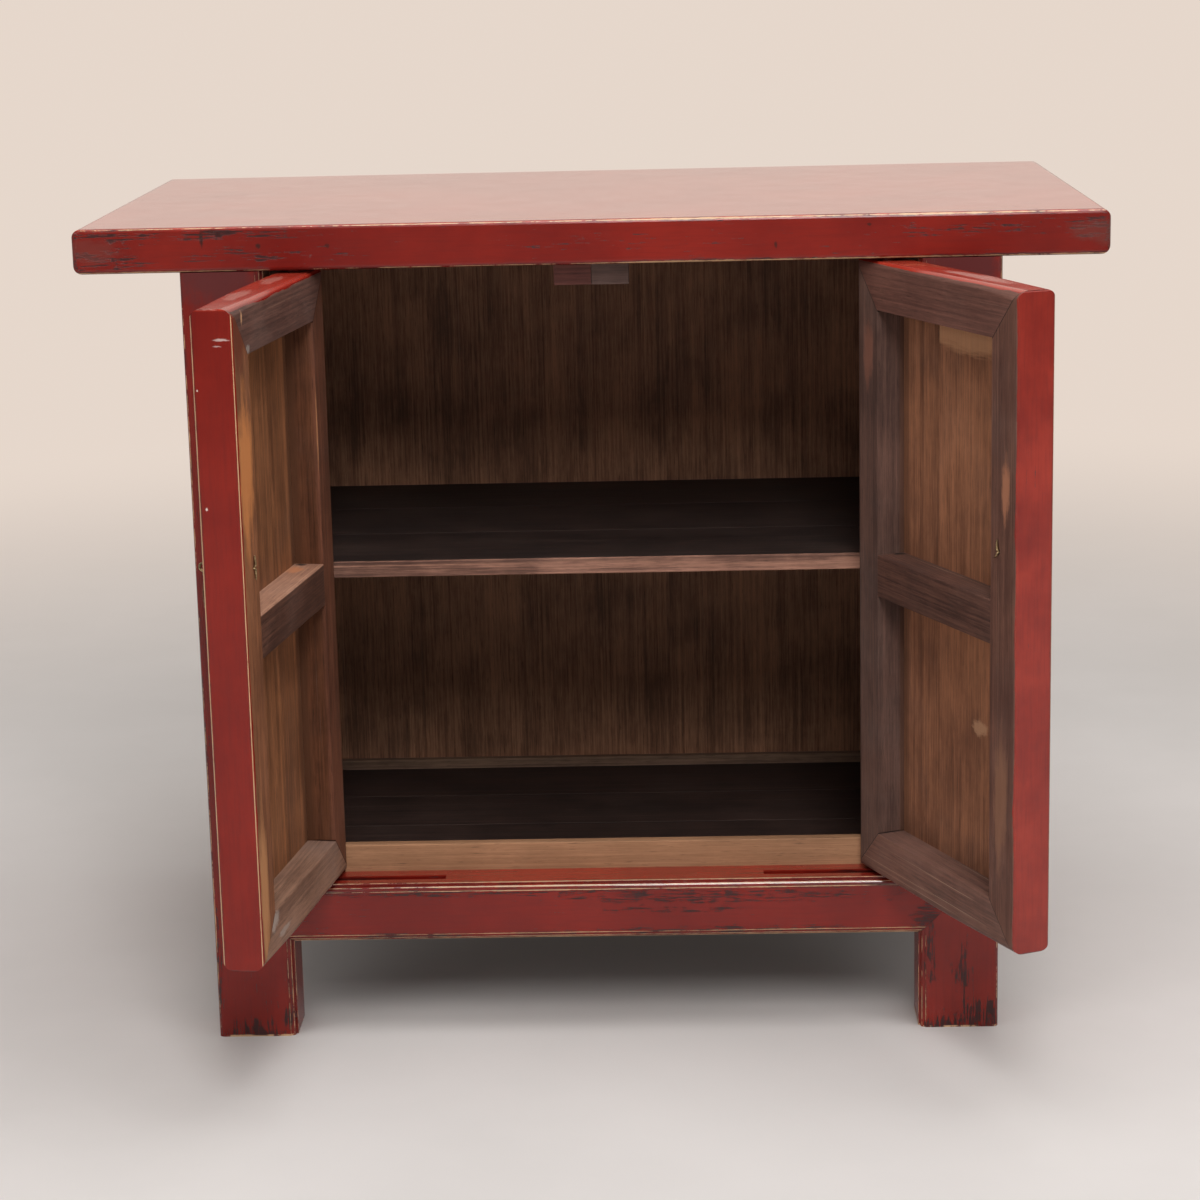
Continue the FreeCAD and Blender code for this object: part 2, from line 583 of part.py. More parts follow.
# Doors are drawn closed, with the pivot's axis at the origin, and then turned open.
# The left one runs from its pivot towards +X and the right one is its mirror image.
outer_face = "(-pivot_setback)"
inner_face = "(door_thickness - pivot_setback)"
panel_front = "(door_panel_setback - pivot_setback)"
panel_rear = "(door_panel_setback + door_panel_thickness - pivot_setback)"
hinge_edge = "(-pivot_inset)"
hinge_inner = "(door_stile_width - pivot_inset)"
free_inner = f"({free_edge} - door_stile_width)"
bottom_rail_top = f"({door_bottom} + door_bottom_rail_width)"
top_rail_bottom = f"({door_top} - door_top_rail_width)"
middle_rail_low = "(middle_rail_top_height - door_middle_rail_width)"
pull_x = f"({free_edge} - pull_inset)"
plate_face = "(-pivot_setback - plate_thickness)"
eye_y = f"({plate_face} - eye_radius - wire_radius)"
leaf_start = "(pull_height - eye_radius - leaf_seat_gap)"


def make_door(side, name, angle):
    """One door: mitred frame with its pivots, two planks, a middle rail and the brass pull."""
    turn = -side

    def along(text):
        return f"{turn} * ({text})"

    def across(low, high):
        return mirrored(turn, low, high)

    def hang(thing, label):
        thing.Label = f"{name}_{label}"
        thing.Placement.Rotation = FreeCAD.Rotation(FreeCAD.Vector(0, 0, 1), 1)
        bind(thing, Placement__Base__x=f"{side} * {pivot_x}",
             Placement__Base__y=f"{pivot_y} - {middle_y}",
             Placement__Rotation__Angle=f"{side} * {angle}")
        sub_parts.append(thing)

    title = name.capitalize() + "Door"

    # The whole door's outside, rounded in plan, in section and in outline, which gives every
    # frame piece its edges
    plan = new_body(title + "Plan")
    pad(plan, "XY_Plane",
        rectangle(across(hinge_edge, free_edge), (outer_face, inner_face)), (door_bottom, door_top))
    round_edges(plan, "hinge_outer_radius", "z", x=[along(hinge_edge)], y=[outer_face])
    round_edges(plan, "hinge_inner_radius", "z", x=[along(hinge_edge)], y=[inner_face])
    round_edges(plan, "free_edge_radius", "z", x=[along(free_edge)], y=[outer_face, inner_face])
    section = new_body(title + "Section")
    pad(section, "YZ_Plane", rectangle((outer_face, inner_face), (door_bottom, door_top)),
        across(hinge_edge, free_edge))
    round_edges(section, "door_edge_radius", "x")
    outline = new_body(title + "Outline")
    pad(outline, "XZ_Plane", rectangle(across(hinge_edge, free_edge), (door_bottom, door_top)),
        (outer_face, inner_face))
    round_edges(outline, "door_end_radius", "y")
    envelope = shared(title + "Envelope", shared(title + "Rounded", plan, section), outline)

    # Room for the planks' tongues, for the middle rail's tenons and for the pivots
    panel_room = block(title + "PanelRoom",
                       across(f"({hinge_inner} - panel_tongue_length)",
                              f"({free_inner} + panel_tongue_length)"),
                       (f"({panel_front} - joint_gap)", f"({panel_rear} + joint_gap)"),
                       (f"({bottom_rail_top} - panel_tongue_length)",
                        f"({top_rail_bottom} + panel_tongue_length)"))
    middle_deep = (f"({panel_rear} + tenon_shoulder_width)", f"({inner_face} - tenon_shoulder_width)")
    middle_up = (f"({middle_rail_low} + tenon_shoulder_width)",
                 "(middle_rail_top_height - tenon_shoulder_width)")
    middle_room = block(title + "MiddleRoom",
                        across(f"({hinge_inner} - middle_tenon_length - joint_gap)",
                               f"({free_inner} + middle_tenon_length + joint_gap)"),
                        (f"({middle_deep[0]} - joint_gap)", f"({middle_deep[1]} + joint_gap)"),
                        (f"({middle_up[0]} - joint_gap)", f"({middle_up[1]} + joint_gap)"))
    foot_end = f"({door_bottom} - foot_pivot_length)"
    foot_pivot = rod(title + "FootPivot", "pivot_radius", ("0", "0", foot_end),
                     "foot_pivot_length + door_bottom_rail_width")
    foot_room = rod(title + "FootRoom", "pivot_radius + joint_gap", ("0", "0", foot_end),
                    "foot_pivot_length + door_bottom_rail_width")
    head_pivot = rod(title + "HeadPivot", "pivot_radius", ("0", "0", top_rail_bottom),
                     "door_top_rail_width + head_pivot_length")
    head_room = rod(title + "HeadRoom", "pivot_radius + joint_gap", ("0", "0", top_rail_bottom),
                    "door_top_rail_width + head_pivot_length")
    pin_room = rod(title + "PinRoom", "pin_bore_radius",
                   (along(pull_x), f"{outer_face} - overrun", "pull_height"),
                   "door_thickness + 2 * overrun", "y")

    # Frame pieces, cut to forty-five degrees where they meet
    outlines = {
        "HingeStile": [(hinge_edge, door_bottom), (hinge_inner, bottom_rail_top),
                       (hinge_inner, top_rail_bottom), (hinge_edge, door_top)],
        "FreeStile": [(free_edge, door_bottom), (free_edge, door_top),
                      (free_inner, top_rail_bottom), (free_inner, bottom_rail_top)],
        "TopRail": [(hinge_edge, door_top), (hinge_inner, top_rail_bottom),
                    (free_inner, top_rail_bottom), (free_edge, door_top)],
        "BottomRail": [(hinge_edge, door_bottom), (free_edge, door_bottom),
                       (free_inner, bottom_rail_top), (hinge_inner, bottom_rail_top)],
    }
    frame = {}
    for piece, corners in outlines.items():
        blank = new_body(title + piece + "Blank")
        pad(blank, "XZ_Plane", [(along(x), z) for x, z in corners], (outer_face, inner_face))
        frame[piece] = shared(title + piece, blank, envelope)
    stile = joined(title + "PivotStile", frame["HingeStile"], foot_pivot, head_pivot)
    hang(without(title + "HingeStileCut", stile, panel_room, middle_room), "door_hinge_stile")
    hang(without(title + "FreeStileCut", frame["FreeStile"], panel_room, middle_room, pin_room),
         "door_free_stile")
    hang(without(title + "TopRailCut", frame["TopRail"], panel_room, head_room), "door_top_rail")
    hang(without(title + "BottomRailCut", frame["BottomRail"], panel_room, foot_room),
         "door_bottom_rail")

    # Middle rail behind the planks, flush with the frame inside
    middle = new_body(title + "MiddleRail")
    pad(middle, "XZ_Plane",
        rectangle(across(hinge_inner, free_inner), (middle_rail_low, "middle_rail_top_height")),
        (panel_rear, inner_face))
    round_edges(middle, "small_edge_radius", "x", y=[inner_face])
    pad(middle, "XZ_Plane",
        rectangle(across(f"({hinge_inner} - middle_tenon_length)",
                         f"({free_inner} + middle_tenon_length)"), middle_up), middle_deep)
    hang(middle, "door_middle_rail")

    # Two planks of unequal width, with their tongues in the frame
    tongue = "(panel_tongue_length - joint_gap)"
    plank_joint = f"({free_inner} - ({free_inner} - {hinge_inner}) * {plank_share})"
    plank_up = (f"({bottom_rail_top} - {tongue})", f"({top_rail_bottom} + {tongue})")
    planks = {"wide": (f"({plank_joint} + board_gap / 2)", f"({free_inner} + {tongue})"),
              "narrow": (f"({hinge_inner} - {tongue})", f"({plank_joint} - board_gap / 2)")}
    for label, (low, high) in planks.items():
        plank = new_body(f"{title}{label.capitalize()}Plank")
        pad(plank, "XZ_Plane", rectangle(across(low, high), plank_up), (panel_front, panel_rear))
        hang(plank, f"door_{label}_plank")

    # Round brass plate with a bevelled rim, held by the split pin
    plate = new_body(title + "Plate")
    pad(plate, "XZ_Plane", (along(pull_x), "pull_height", "plate_radius"), (plate_face, outer_face))
    round_edges(plate, "plate_edge_radius", "xz", y=[plate_face])
    pocket(plate, "XZ_Plane", (along(pull_x), "pull_height", "pin_bore_radius"),
           (f"{plate_face} - overrun", f"{outer_face} + overrun"))
    hang(plate, "pull_plate")

    # Split pin: a round eye outside, two legs through the stile, bent apart on the inner face
    eye = doc.addObject("Part::Torus", title + "PinEye")
    eye.Placement.Rotation = turns["x"]
    bind(eye, Radius1="eye_radius", Radius2="wire_radius", Placement__Base__x=along(pull_x),
         Placement__Base__y=eye_y, Placement__Base__z="pull_height")
    leg_start = f"({eye_y} + eye_radius)"
    pieces = [eye]
    bend_y = f"({inner_face} + wire_radius)"
    for lift, step in (("upper", 1), ("lower", -1)):
        height = f"(pull_height + {step} * {leg_share} * wire_radius)"
        leg = rod(f"{title}Pin{lift}Leg", "wire_radius",
                  (along(pull_x), leg_start, height), f"{bend_y} - {leg_start}", "y")
        elbow = doc.addObject("Part::Sphere", f"{title}Pin{lift}Elbow")
        bind(elbow, Radius="wire_radius", Placement__Base__x=along(pull_x),
             Placement__Base__y=bend_y, Placement__Base__z=height)
        low = height if step > 0 else f"({height} - pin_bend_length)"
        end = rod(f"{title}Pin{lift}End", "wire_radius", (along(pull_x), bend_y, low),
                  "pin_bend_length")
        pieces += [leg, elbow, end]
    hang(joined(title + "Pin", *pieces), "pull_pin")

    # Leaf-shaped drop: the part that two large discs share, with a bored boss at its top.
    # It hangs in the plane of the eye's centre and turns about that centre.
    half_long = "(leaf_length / 2)"
    disc_radius = "((leaf_length * leaf_length + leaf_width * leaf_width) / (4 * leaf_width))"
    leaf_middle = f"({leaf_start} - {leaf_drop_share} * leaf_boss_radius - {half_long})"
    discs = []
    leaf_front = f"({eye_y} - leaf_thickness / 2)"
    for hand, word in ((-1, "Left"), (1, "Right")):
        centre_x = f"({along(pull_x)} + {hand} * ({disc_radius} - leaf_width / 2))"
        discs.append(rod(f"{title}Leaf{word}", disc_radius, (centre_x, leaf_front, leaf_middle),
                         "leaf_thickness", "y"))
    leaf = shared(title + "Leaf", *discs)
    boss = rod(title + "LeafBoss", "leaf_boss_radius", (along(pull_x), leaf_front, leaf_start),
               "leaf_thickness", "y")
    neck = block(title + "LeafNeck",
                 (f"({along(pull_x)} - leaf_boss_radius / 2)",
                  f"({along(pull_x)} + leaf_boss_radius / 2)"),
                 (leaf_front, f"({eye_y} + leaf_thickness / 2)"),
                 (f"({leaf_start} - leaf_boss_radius * 2)", leaf_start))
    bore = rod(title + "LeafBore", "leaf_bore_radius",
               (along(pull_x), f"({eye_y} - leaf_thickness)", leaf_start), "2 * leaf_thickness", "y")
    drop = without(title + "Pull", joined(title + "LeafBlank", leaf, boss, neck), bore)
    hang(drop, "pull_leaf")


make_door(-1, "left", "left_open_angle")
make_door(1, "right", "right_open_angle")

doc.recompute()

# Nothing is written unless every object is sound
faults = [item.Name for item in doc.Objects if "Invalid" in item.State or "Error" in item.State]
for thing in sub_parts:
    if thing.Shape.isNull() or not thing.Shape.isValid() or not thing.Shape.Solids:
        faults.append(thing.Label)
if faults:
    raise RuntimeError("unsound: " + ", ".join(faults))
for thing in sub_parts:
    thing.Shape.exportStep(f"parts/{thing.Label}.step")
    print(thing.Label, len(thing.Shape.Solids), round(thing.Shape.Volume / 1000, 1))
print(len(sub_parts), "sub-parts; pivots", value(pivot_x), value(pivot_y), "middle", value(middle_y))
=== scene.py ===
import bpy
import json
import math
from mathutils import Matrix, Vector


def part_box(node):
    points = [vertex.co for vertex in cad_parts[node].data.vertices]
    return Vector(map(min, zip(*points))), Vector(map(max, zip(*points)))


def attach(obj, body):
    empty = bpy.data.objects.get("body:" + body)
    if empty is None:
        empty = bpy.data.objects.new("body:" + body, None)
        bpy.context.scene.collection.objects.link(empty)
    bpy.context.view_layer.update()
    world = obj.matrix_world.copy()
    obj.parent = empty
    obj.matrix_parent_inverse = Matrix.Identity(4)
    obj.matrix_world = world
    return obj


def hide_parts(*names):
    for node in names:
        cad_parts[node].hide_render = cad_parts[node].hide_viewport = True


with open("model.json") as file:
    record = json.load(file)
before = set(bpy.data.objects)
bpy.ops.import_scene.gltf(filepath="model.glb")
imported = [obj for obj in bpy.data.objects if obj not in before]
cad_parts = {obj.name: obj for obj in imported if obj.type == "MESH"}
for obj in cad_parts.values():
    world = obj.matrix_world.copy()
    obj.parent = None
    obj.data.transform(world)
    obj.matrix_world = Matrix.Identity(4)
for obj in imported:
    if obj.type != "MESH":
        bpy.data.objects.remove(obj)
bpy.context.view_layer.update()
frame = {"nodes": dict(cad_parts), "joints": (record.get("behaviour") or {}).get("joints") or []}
bpy.ops.object.select_all(action="DESELECT")

# The cabinet stands with both doors open. It is looked at from in front at about chest height,
# a little above its top, by a camera some three metres away with a long lens.
# Its place and turn were fitted to the edges of the cabinet in the photograph.
photo_size_px = 1200
focal_px = 3007.6
sensor_width = 36.0
camera_place = (0.0777, -2.92603, 1.0638)
camera_yaw = 0.0271
camera_pitch = 0.2232
camera_roll = -0.0234
camera_turn = (Matrix.Rotation(camera_yaw, 3, "Z")
               @ Matrix.Rotation(math.pi / 2 - camera_pitch, 3, "X")
               @ Matrix.Rotation(camera_roll, 3, "Z"))
bpy.ops.object.camera_add(location=camera_place, rotation=camera_turn.to_euler())
camera = bpy.context.object
camera.name = "photographer"
camera.data.sensor_width = sensor_width
camera.data.lens = focal_px / photo_size_px * sensor_width
camera.data.clip_end = 200
bpy.context.scene.camera = camera


# The studio is a plain pale floor that fades into a warm wall tone, so that no edge shows.
# A large soft lamp hangs above and in front, and a weaker one stands at each side.
# Gloss sees the same wall behind the cabinet, and a dimmer room in front of it.
def node(tree, kind, values=None, **settings):
    """Adds a shader node; each value is a number, a colour of three parts, or a socket to link."""
    made = tree.nodes.new("ShaderNode" + kind)
    for name, setting in settings.items():
        setattr(made, name, setting)
    for name, given in (values or {}).items():
        if isinstance(given, bpy.types.NodeSocket):
            tree.links.new(given, made.inputs[name])
        elif made.inputs[name].type == "RGBA":
            made.inputs[name].default_value = (*given, 1)
        else:
            made.inputs[name].default_value = given
    return made


def maths(tree, operation, first, second=0.0, third=0.0):
    """One Math node's result."""
    return node(tree, "Math", {0: first, 1: second, 2: third}, operation=operation).outputs[0]


def times(tree, first, second):
    """A product."""
    return maths(tree, "MULTIPLY", first, second)


def axes_of(tree, point):
    """A point's three coordinates."""
    return node(tree, "SeparateXYZ", {0: point}).outputs


def how_far(tree, vector):
    """A vector's length."""
    return node(tree, "VectorMath", {0: vector}, operation="LENGTH").outputs["Value"]


def ramp_up(tree, value, low, high):
    """A smooth step from 0 at low to 1 at high."""
    return node(tree, "MapRange", {"Value": value, "From Min": low, "From Max": high},
                interpolation_type="SMOOTHSTEP").outputs[0]


def mixed(tree, factor, first, second):
    """Two colours mixed by a factor."""
    return node(tree, "Mix", {0: factor, 6: first, 7: second}, data_type="RGBA").outputs[2]


def noise(tree, point, scale, detail=3.0, rough=0.5, distortion=0.0):
    """A noise texture's value at a point."""
    return node(tree, "TexNoise", {"Vector": point, "Scale": scale, "Detail": detail,
                                   "Roughness": rough, "Distortion": distortion}).outputs[0]


def new_material(name):
    """An empty material: its tree, its Principled BSDF and the object coordinates."""
    material = bpy.data.materials.new(name)
    material.use_nodes = True
    tree = material.node_tree
    place = node(tree, "TexCoord").outputs["Object"]
    return material, tree, tree.nodes["Principled BSDF"], place


wall_colour = (0.79, 0.68, 0.60)
floor_light = (0.66, 0.625, 0.605)
floor_dark = (0.60, 0.57, 0.55)
floor_half = 60.0
fade_start = 1.1
fade_end = 3.4
bpy.ops.mesh.primitive_plane_add(size=2 * floor_half, location=(0, 0, 0))
floor = bpy.context.object
floor.name = "studio_floor"
material, tree, shader, place = new_material("pale_floor")
shader.inputs["Roughness"].default_value = 0.6
cloud = noise(tree, place, 1.3, 5.0, 0.6)
tree.links.new(mixed(tree, ramp_up(tree, cloud, 0.3, 0.7), floor_dark, floor_light),
               shader.inputs["Base Color"])
away = how_far(tree, place)
path = node(tree, "LightPath").outputs
seen = maths(tree, "MAXIMUM", path["Is Camera Ray"], path["Is Transmission Ray"])
fade = times(tree, ramp_up(tree, away, fade_start, fade_end), seen)
glow = node(tree, "Emission", {"Color": wall_colour, "Strength": 1.0})
surface = node(tree, "MixShader", {0: fade, 1: shader.outputs[0], 2: glow.outputs[0]})
tree.links.new(surface.outputs[0], tree.nodes["Material Output"].inputs["Surface"])
floor.data.materials.append(material)

fill_strength = 0.36
front_dimming = 0.15
world = bpy.data.worlds.new("studio")
bpy.context.scene.world = world
world.use_nodes = True
tree = world.node_tree
tree.nodes.clear()
path = node(tree, "LightPath").outputs
seen = maths(tree, "MAXIMUM", path["Is Camera Ray"], path["Is Glossy Ray"])
seen = maths(tree, "MAXIMUM", seen, path["Is Transmission Ray"])
heading = axes_of(tree, node(tree, "TexCoord").outputs["Generated"])
behind = maths(tree, "MULTIPLY_ADD", ramp_up(tree, heading[1], -0.4, 0.5),
               1 - front_dimming, front_dimming)
wall_strength = maths(tree, "MAXIMUM", behind, path["Is Camera Ray"])
fill = node(tree, "Background", {"Color": (1, 0.97, 0.94), "Strength": fill_strength})
wall = node(tree, "Background", {"Color": wall_colour, "Strength": wall_strength})
blend = node(tree, "MixShader", {0: seen, 1: fill.outputs[0], 2: wall.outputs[0]})
node(tree, "OutputWorld", {"Surface": blend.outputs[0]})

lamps = {"ceiling": ((0.4, -0.5, 3.3), 2.2, 2.2, 60.0), "key": ((0.4, -3.3, 3.2), 1.0, 2.0, 84.0),
         "left": ((-3.2, -2.4, 1.8), 1.8, 1.8, 26.0), "right": ((3.2, -2.6, 2.0), 1.8, 1.8, 24.0)}
lamp_aim = Vector((0, 0.1, 0.4))
for name, (spot, width, length, power) in lamps.items():
    bpy.ops.object.light_add(type="AREA", location=spot)
    lamp = bpy.context.object
    lamp.name = "lamp_" + name
    lamp.data.shape = "RECTANGLE"
    lamp.data.size = width
    lamp.data.size_y = length
    lamp.data.energy = power
    lamp.rotation_euler = (lamp_aim - Vector(spot)).to_track_quat("-Z", "Y").to_euler()
bpy.context.scene.view_settings.view_transform = "Standard"


# The top is one thick board on the four posts. It is lacquered all over, smooth and shining
# above, and its front arrises are rubbed down to the pale wood. Its ends are knocked and dark.
def new_group(name, inputs, outputs):
    """An empty shader node group with the named sockets; returns it with its two end nodes."""
    group = bpy.data.node_groups.new(name, "ShaderNodeTree")
    for way, sockets in (("INPUT", inputs), ("OUTPUT", outputs)):
        for kind, labels in sockets.items():
            for label in labels.split():
                group.interface.new_socket(label, in_out=way, socket_type="NodeSocket" + kind)
    return group, group.nodes.new("NodeGroupInput").outputs, group.nodes.new("NodeGroupOutput")


def grouped(tree, group, values):
    """Places a node group in a material and returns its outputs."""
    return node(tree, "Group", values, node_tree=group).outputs


def plus(tree, first, second):
    """A sum."""
    return maths(tree, "ADD", first, second)


def minus(tree, first, second):
    """A difference."""
    return maths(tree, "SUBTRACT", first, second)


def ramp_down(tree, value, low, high):
    """A smooth step from 1 at low to 0 at high."""
    return minus(tree, 1.0, ramp_up(tree, value, low, high))


def vectors(tree, operation, first, second):
    """One Vector Math node's result."""
    return node(tree, "VectorMath", {0: first, 1: second}, operation=operation).outputs[0]


# How far a point is from the nearest arris of the box that a piece fills, less the arris's round
g, given, result = new_group(
    "arris distance", {"Vector": "Point Low High", "Float": "Round"}, {"Float": "Distance"})
arris_group = g
above = vectors(g, "SUBTRACT", given["Point"], given["Low"])
below = vectors(g, "SUBTRACT", given["High"], given["Point"])
axes = axes_of(g, vectors(g, "MINIMUM", above, below))
smaller = maths(g, "MINIMUM", axes[0], axes[1])
larger = maths(g, "MAXIMUM", axes[0], axes[1])
second = maths(g, "MAXIMUM", smaller, maths(g, "MINIMUM", larger, axes[2]))
inset = times(g, given["Round"], 1 - math.sqrt(0.5))
distance = maths(g, "MAXIMUM", minus(g, second, inset), 0.0)
g.links.new(distance, result.inputs["Distance"])

def own_point(tree, given):
    """The point moved by the piece's own seed, and the same point squeezed along the grain."""
    seed = given["Seed"]
    shift = node(tree, "CombineXYZ", {0: seed, 1: times(tree, seed, 1.7), 2: times(tree, seed, 2.3)})
    moved = vectors(tree, "ADD", given["Point"], shift.outputs[0])
    return moved, vectors(tree, "MULTIPLY", moved, given["Stretch"])


# Old red lacquer: a clouded deep red with fine brush lines, dark dashes where the grain has come
# through, a few knocks, and arrises rubbed bare with a dark line beside them. Tone brightens the
# red, and Stain brings the dark dashes close together.
deep_reds = ((0.150, 0.0072, 0.0042), (0.225, 0.0125, 0.0064))
bright_reds = ((0.300, 0.026, 0.014), (0.385, 0.038, 0.020))
brush_red = (0.095, 0.008, 0.007)
grain_black = (0.026, 0.010, 0.010)
knock_black = (0.03, 0.016, 0.014)
rim_brown = (0.045, 0.010, 0.009)
rubbed_woods = ((0.36, 0.19, 0.09), (0.66, 0.42, 0.24))
crack_black = (0.04, 0.012, 0.012)
dash_level = 0.682
dash_gain = 0.155
rub_width = 0.0013
g, given, result = new_group(
    "worn lacquer",
    {"Vector": "Point Stretch", "Float": "Edge Wear Evenness Streaks Stain Tone Seam Seed"},
    {"Color": "Color", "Float": "Roughness Height"})
lacquer_group = g
moved, along = own_point(g, given)
cloud = ramp_up(g, noise(g, moved, 7.0, 5.0, 0.6), 0.3, 0.72)
lacquer = mixed(g, given["Tone"], mixed(g, cloud, *deep_reds), mixed(g, cloud, *bright_reds))
brushed = noise(g, along, 430.0, 4.0, 0.6)
lacquer = mixed(g, times(g, ramp_up(g, brushed, 0.40, 0.75), 0.30), lacquer, brush_red)
# dark dashes
dashes = plus(g, times(g, noise(g, along, 600.0, 4.0, 0.62), 0.70),
              times(g, noise(g, moved, 130.0, 5.0, 0.7), 0.34))
patches = ramp_up(g, noise(g, moved, 10.0, 3.0, 0.55), 0.46, 0.66)
near_edge = ramp_down(g, given["Edge"], 0.0, 0.010)
stained = maths(g, "MAXIMUM", times(g, patches, given["Streaks"]), given["Stain"])
stained = plus(g, stained, times(g, times(g, near_edge, given["Wear"]), 0.28))
level = minus(g, dash_level, times(g, stained, dash_gain))
dash = ramp_up(g, dashes, level, plus(g, level, 0.045))
lacquer = mixed(g, times(g, dash, 0.92), lacquer, grain_black)
# knocks
cells = node(g, "TexVoronoi", {"Vector": moved, "Scale": 42.0}, feature="F1").outputs
knock = ramp_down(g, cells["Distance"], 0.02, 0.06)
chosen = ramp_up(g, node(g, "SeparateColor", {0: cells["Color"]}).outputs[0], 0.955, 0.96)
knock = times(g, times(g, knock, chosen), given["Streaks"])
lacquer = mixed(g, knock, lacquer, knock_black)
# rubbed arrises
ragged = plus(g, times(g, noise(g, moved, 70.0, 5.0, 0.7), 0.55),
              times(g, noise(g, moved, 7.0, 2.0, 0.5), 0.45))
ragged = plus(g, ragged, times(g, given["Evenness"], 0.2))
width = times(g, ramp_up(g, ragged, 0.44, 0.76), rub_width)
width = times(g, width, given["Wear"])
bare = ramp_down(g, given["Edge"], width, plus(g, width, 0.00025))
bare = times(g, bare, ramp_up(g, width, 0.00004, 0.00016))
rim_width = plus(g, times(g, width, 1.6), 0.0005)
rim = ramp_down(g, given["Edge"], rim_width, plus(g, rim_width, 0.0016))
rim = times(g, rim, ramp_up(g, noise(g, moved, 34.0, 4.0, 0.65), 0.42, 0.60))
rim = times(g, rim, given["Wear"])
lacquer = mixed(g, times(g, rim, 0.85), lacquer, rim_brown)
lacquer = mixed(g, bare, lacquer, mixed(g, brushed, *rubbed_woods))
# seams between pieces, where lacquer has cracked
seam = ramp_down(g, given["Seam"], 0.0001, 0.0008)
seam = times(g, seam, ramp_up(g, noise(g, moved, 60.0, 3.0, 0.6), 0.35, 0.55))
lacquer = mixed(g, times(g, seam, 0.8), lacquer, crack_black)
g.links.new(lacquer, result.inputs["Color"])
gloss = plus(g, 0.19, times(g, noise(g, moved, 30.0, 4.0, 0.6), 0.10))
gloss = plus(g, gloss, times(g, dash, 0.06))
gloss = plus(g, gloss, times(g, bare, 0.30))
g.links.new(gloss, result.inputs["Roughness"])
height = plus(g, times(g, noise(g, moved, 32.0, 2.0, 0.5), 0.6), times(g, brushed, 0.15))
for hollow, depth in ((dash, 0.45), (knock, 0.8), (bare, 0.7), (seam, 0.8)):
    height = minus(g, height, times(g, hollow, depth))
g.links.new(height, result.inputs["Height"])


def add_bump(tree, shader, height, distance, strength=0.5):
    """Bump from a height, in the shader's Normal."""
    bump = node(tree, "Bump", {"Height": height, "Distance": distance, "Strength": strength})
    tree.links.new(bump.outputs[0], shader.inputs["Normal"])


def dress(name, material, tree, shader, finish, shine, relief=0.0004):
    """Gives a carried-over piece its material, from a finish's colour, roughness and height."""
    colour, rough, height = finish
    tree.links.new(colour, shader.inputs["Base Color"])
    tree.links.new(rough, shader.inputs["Roughness"])
    add_bump(tree, shader, height, relief)
    shader.inputs["Specular IOR Level"].default_value = shine
    mesh = frame["nodes"][name].data
    mesh.materials.clear()
    mesh.materials.append(material)


def from_centre(tree, place, centre, size):
    """A point as measured from a centre in half sizes, and how far away that is."""
    inside = node(tree, "Mapping", {"Vector": place, "Location": centre, "Scale": size},
                  vector_type="TEXTURE").outputs[0]
    return inside, how_far(tree, inside)


def add_spots(tree, place, colour, spots):
    """Ragged blotches over a colour, each a centre, three half sizes, a colour and a strength."""
    for centre, size, tint, strength in spots:
        inside, out = from_centre(tree, place, centre, size)
        ruffle = times(tree, noise(tree, inside, 1.6, 6.0, 0.7), 1.5)
        out = minus(tree, plus(tree, out, ruffle), 0.75)
        mask = minus(tree, strength, ramp_up(tree, out, 0.35, 1.0))
        colour = mixed(tree, maths(tree, "MAXIMUM", mask, 0.0), colour, tint)
    return colour


def stain_amount(tree, place, stains):
    """How stained a point is; each stain is a centre, three half sizes and a strength."""
    total = 0.0
    for centre, size, strength in stains:
        out = from_centre(tree, place, centre, size)[1]
        mask = ramp_down(tree, out, 0.2, 1.2)
        total = maths(tree, "MAXIMUM", times(tree, mask, strength), total)
    return total


piece_seeds = iter(range(1, 200))
seed_step = 0.37
across_grain = {"x": (0.06, 1, 1), "y": (1, 0.06, 1), "z": (1, 1, 0.06)}
lacquer_shine = 0.38
polish_roughness = 0.06


def arris_distance(tree, place, low, high, arris):
    """The distance from the nearest arris of a box."""
    return grouped(tree, arris_group, {"Point": place, "Low": low, "High": high,
                                       "Round": arris})["Distance"]


def red_lacquer(tree, place, grain, edge, wear, streaks, seam=1.0, **more):
    """The worn lacquer group, with the next piece's seed."""
    return grouped(tree, lacquer_group, {
        "Point": place, "Stretch": across_grain[grain], "Edge": edge, "Wear": wear,
        "Streaks": streaks, "Seam": seam, "Seed": next(piece_seeds) * seed_step, **more})


def lacquered(name, grain, wear, evenness, streaks, arris=0.0, tone=0.0, coat=None, lines=None,
              seam=None, stains=(), spots=()):
    """Worn lacquer on one piece; wear and tone may be functions that give a socket, as coat is."""
    material, tree, shader, place = new_material("lacquer_" + name)
    edge = arris_distance(tree, place, *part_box(name), arris)
    if lines:
        edge = lines(tree, place, edge)
    finish = red_lacquer(
        tree, place, grain, edge, wear(tree, place) if callable(wear) else wear, streaks,
        seam(tree, place) if seam else 1.0, Evenness=evenness,
        Tone=tone(tree, place) if callable(tone) else tone,
        Stain=stain_amount(tree, place, stains))
    colour = add_spots(tree, place, finish["Color"], spots)
    if coat:
        tree.links.new(coat(tree, place), shader.inputs["Coat Weight"])
    shader.inputs["Coat Roughness"].default_value = polish_roughness
    dress(name, material, tree, shader, (colour, finish["Roughness"], finish["Height"]),
          lacquer_shine)


board_arris = 0.0045
board_low, board_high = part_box("top_board")
undercoat = (0.034, 0.010, 0.008)


def board_lit_top(tree, place):
    """The board's upper face is painted a brighter red than its edges, as lit from above."""
    up = axes_of(tree, place)[2]
    return ramp_up(tree, up, board_high.z - 0.0035, board_high.z - 0.0005)


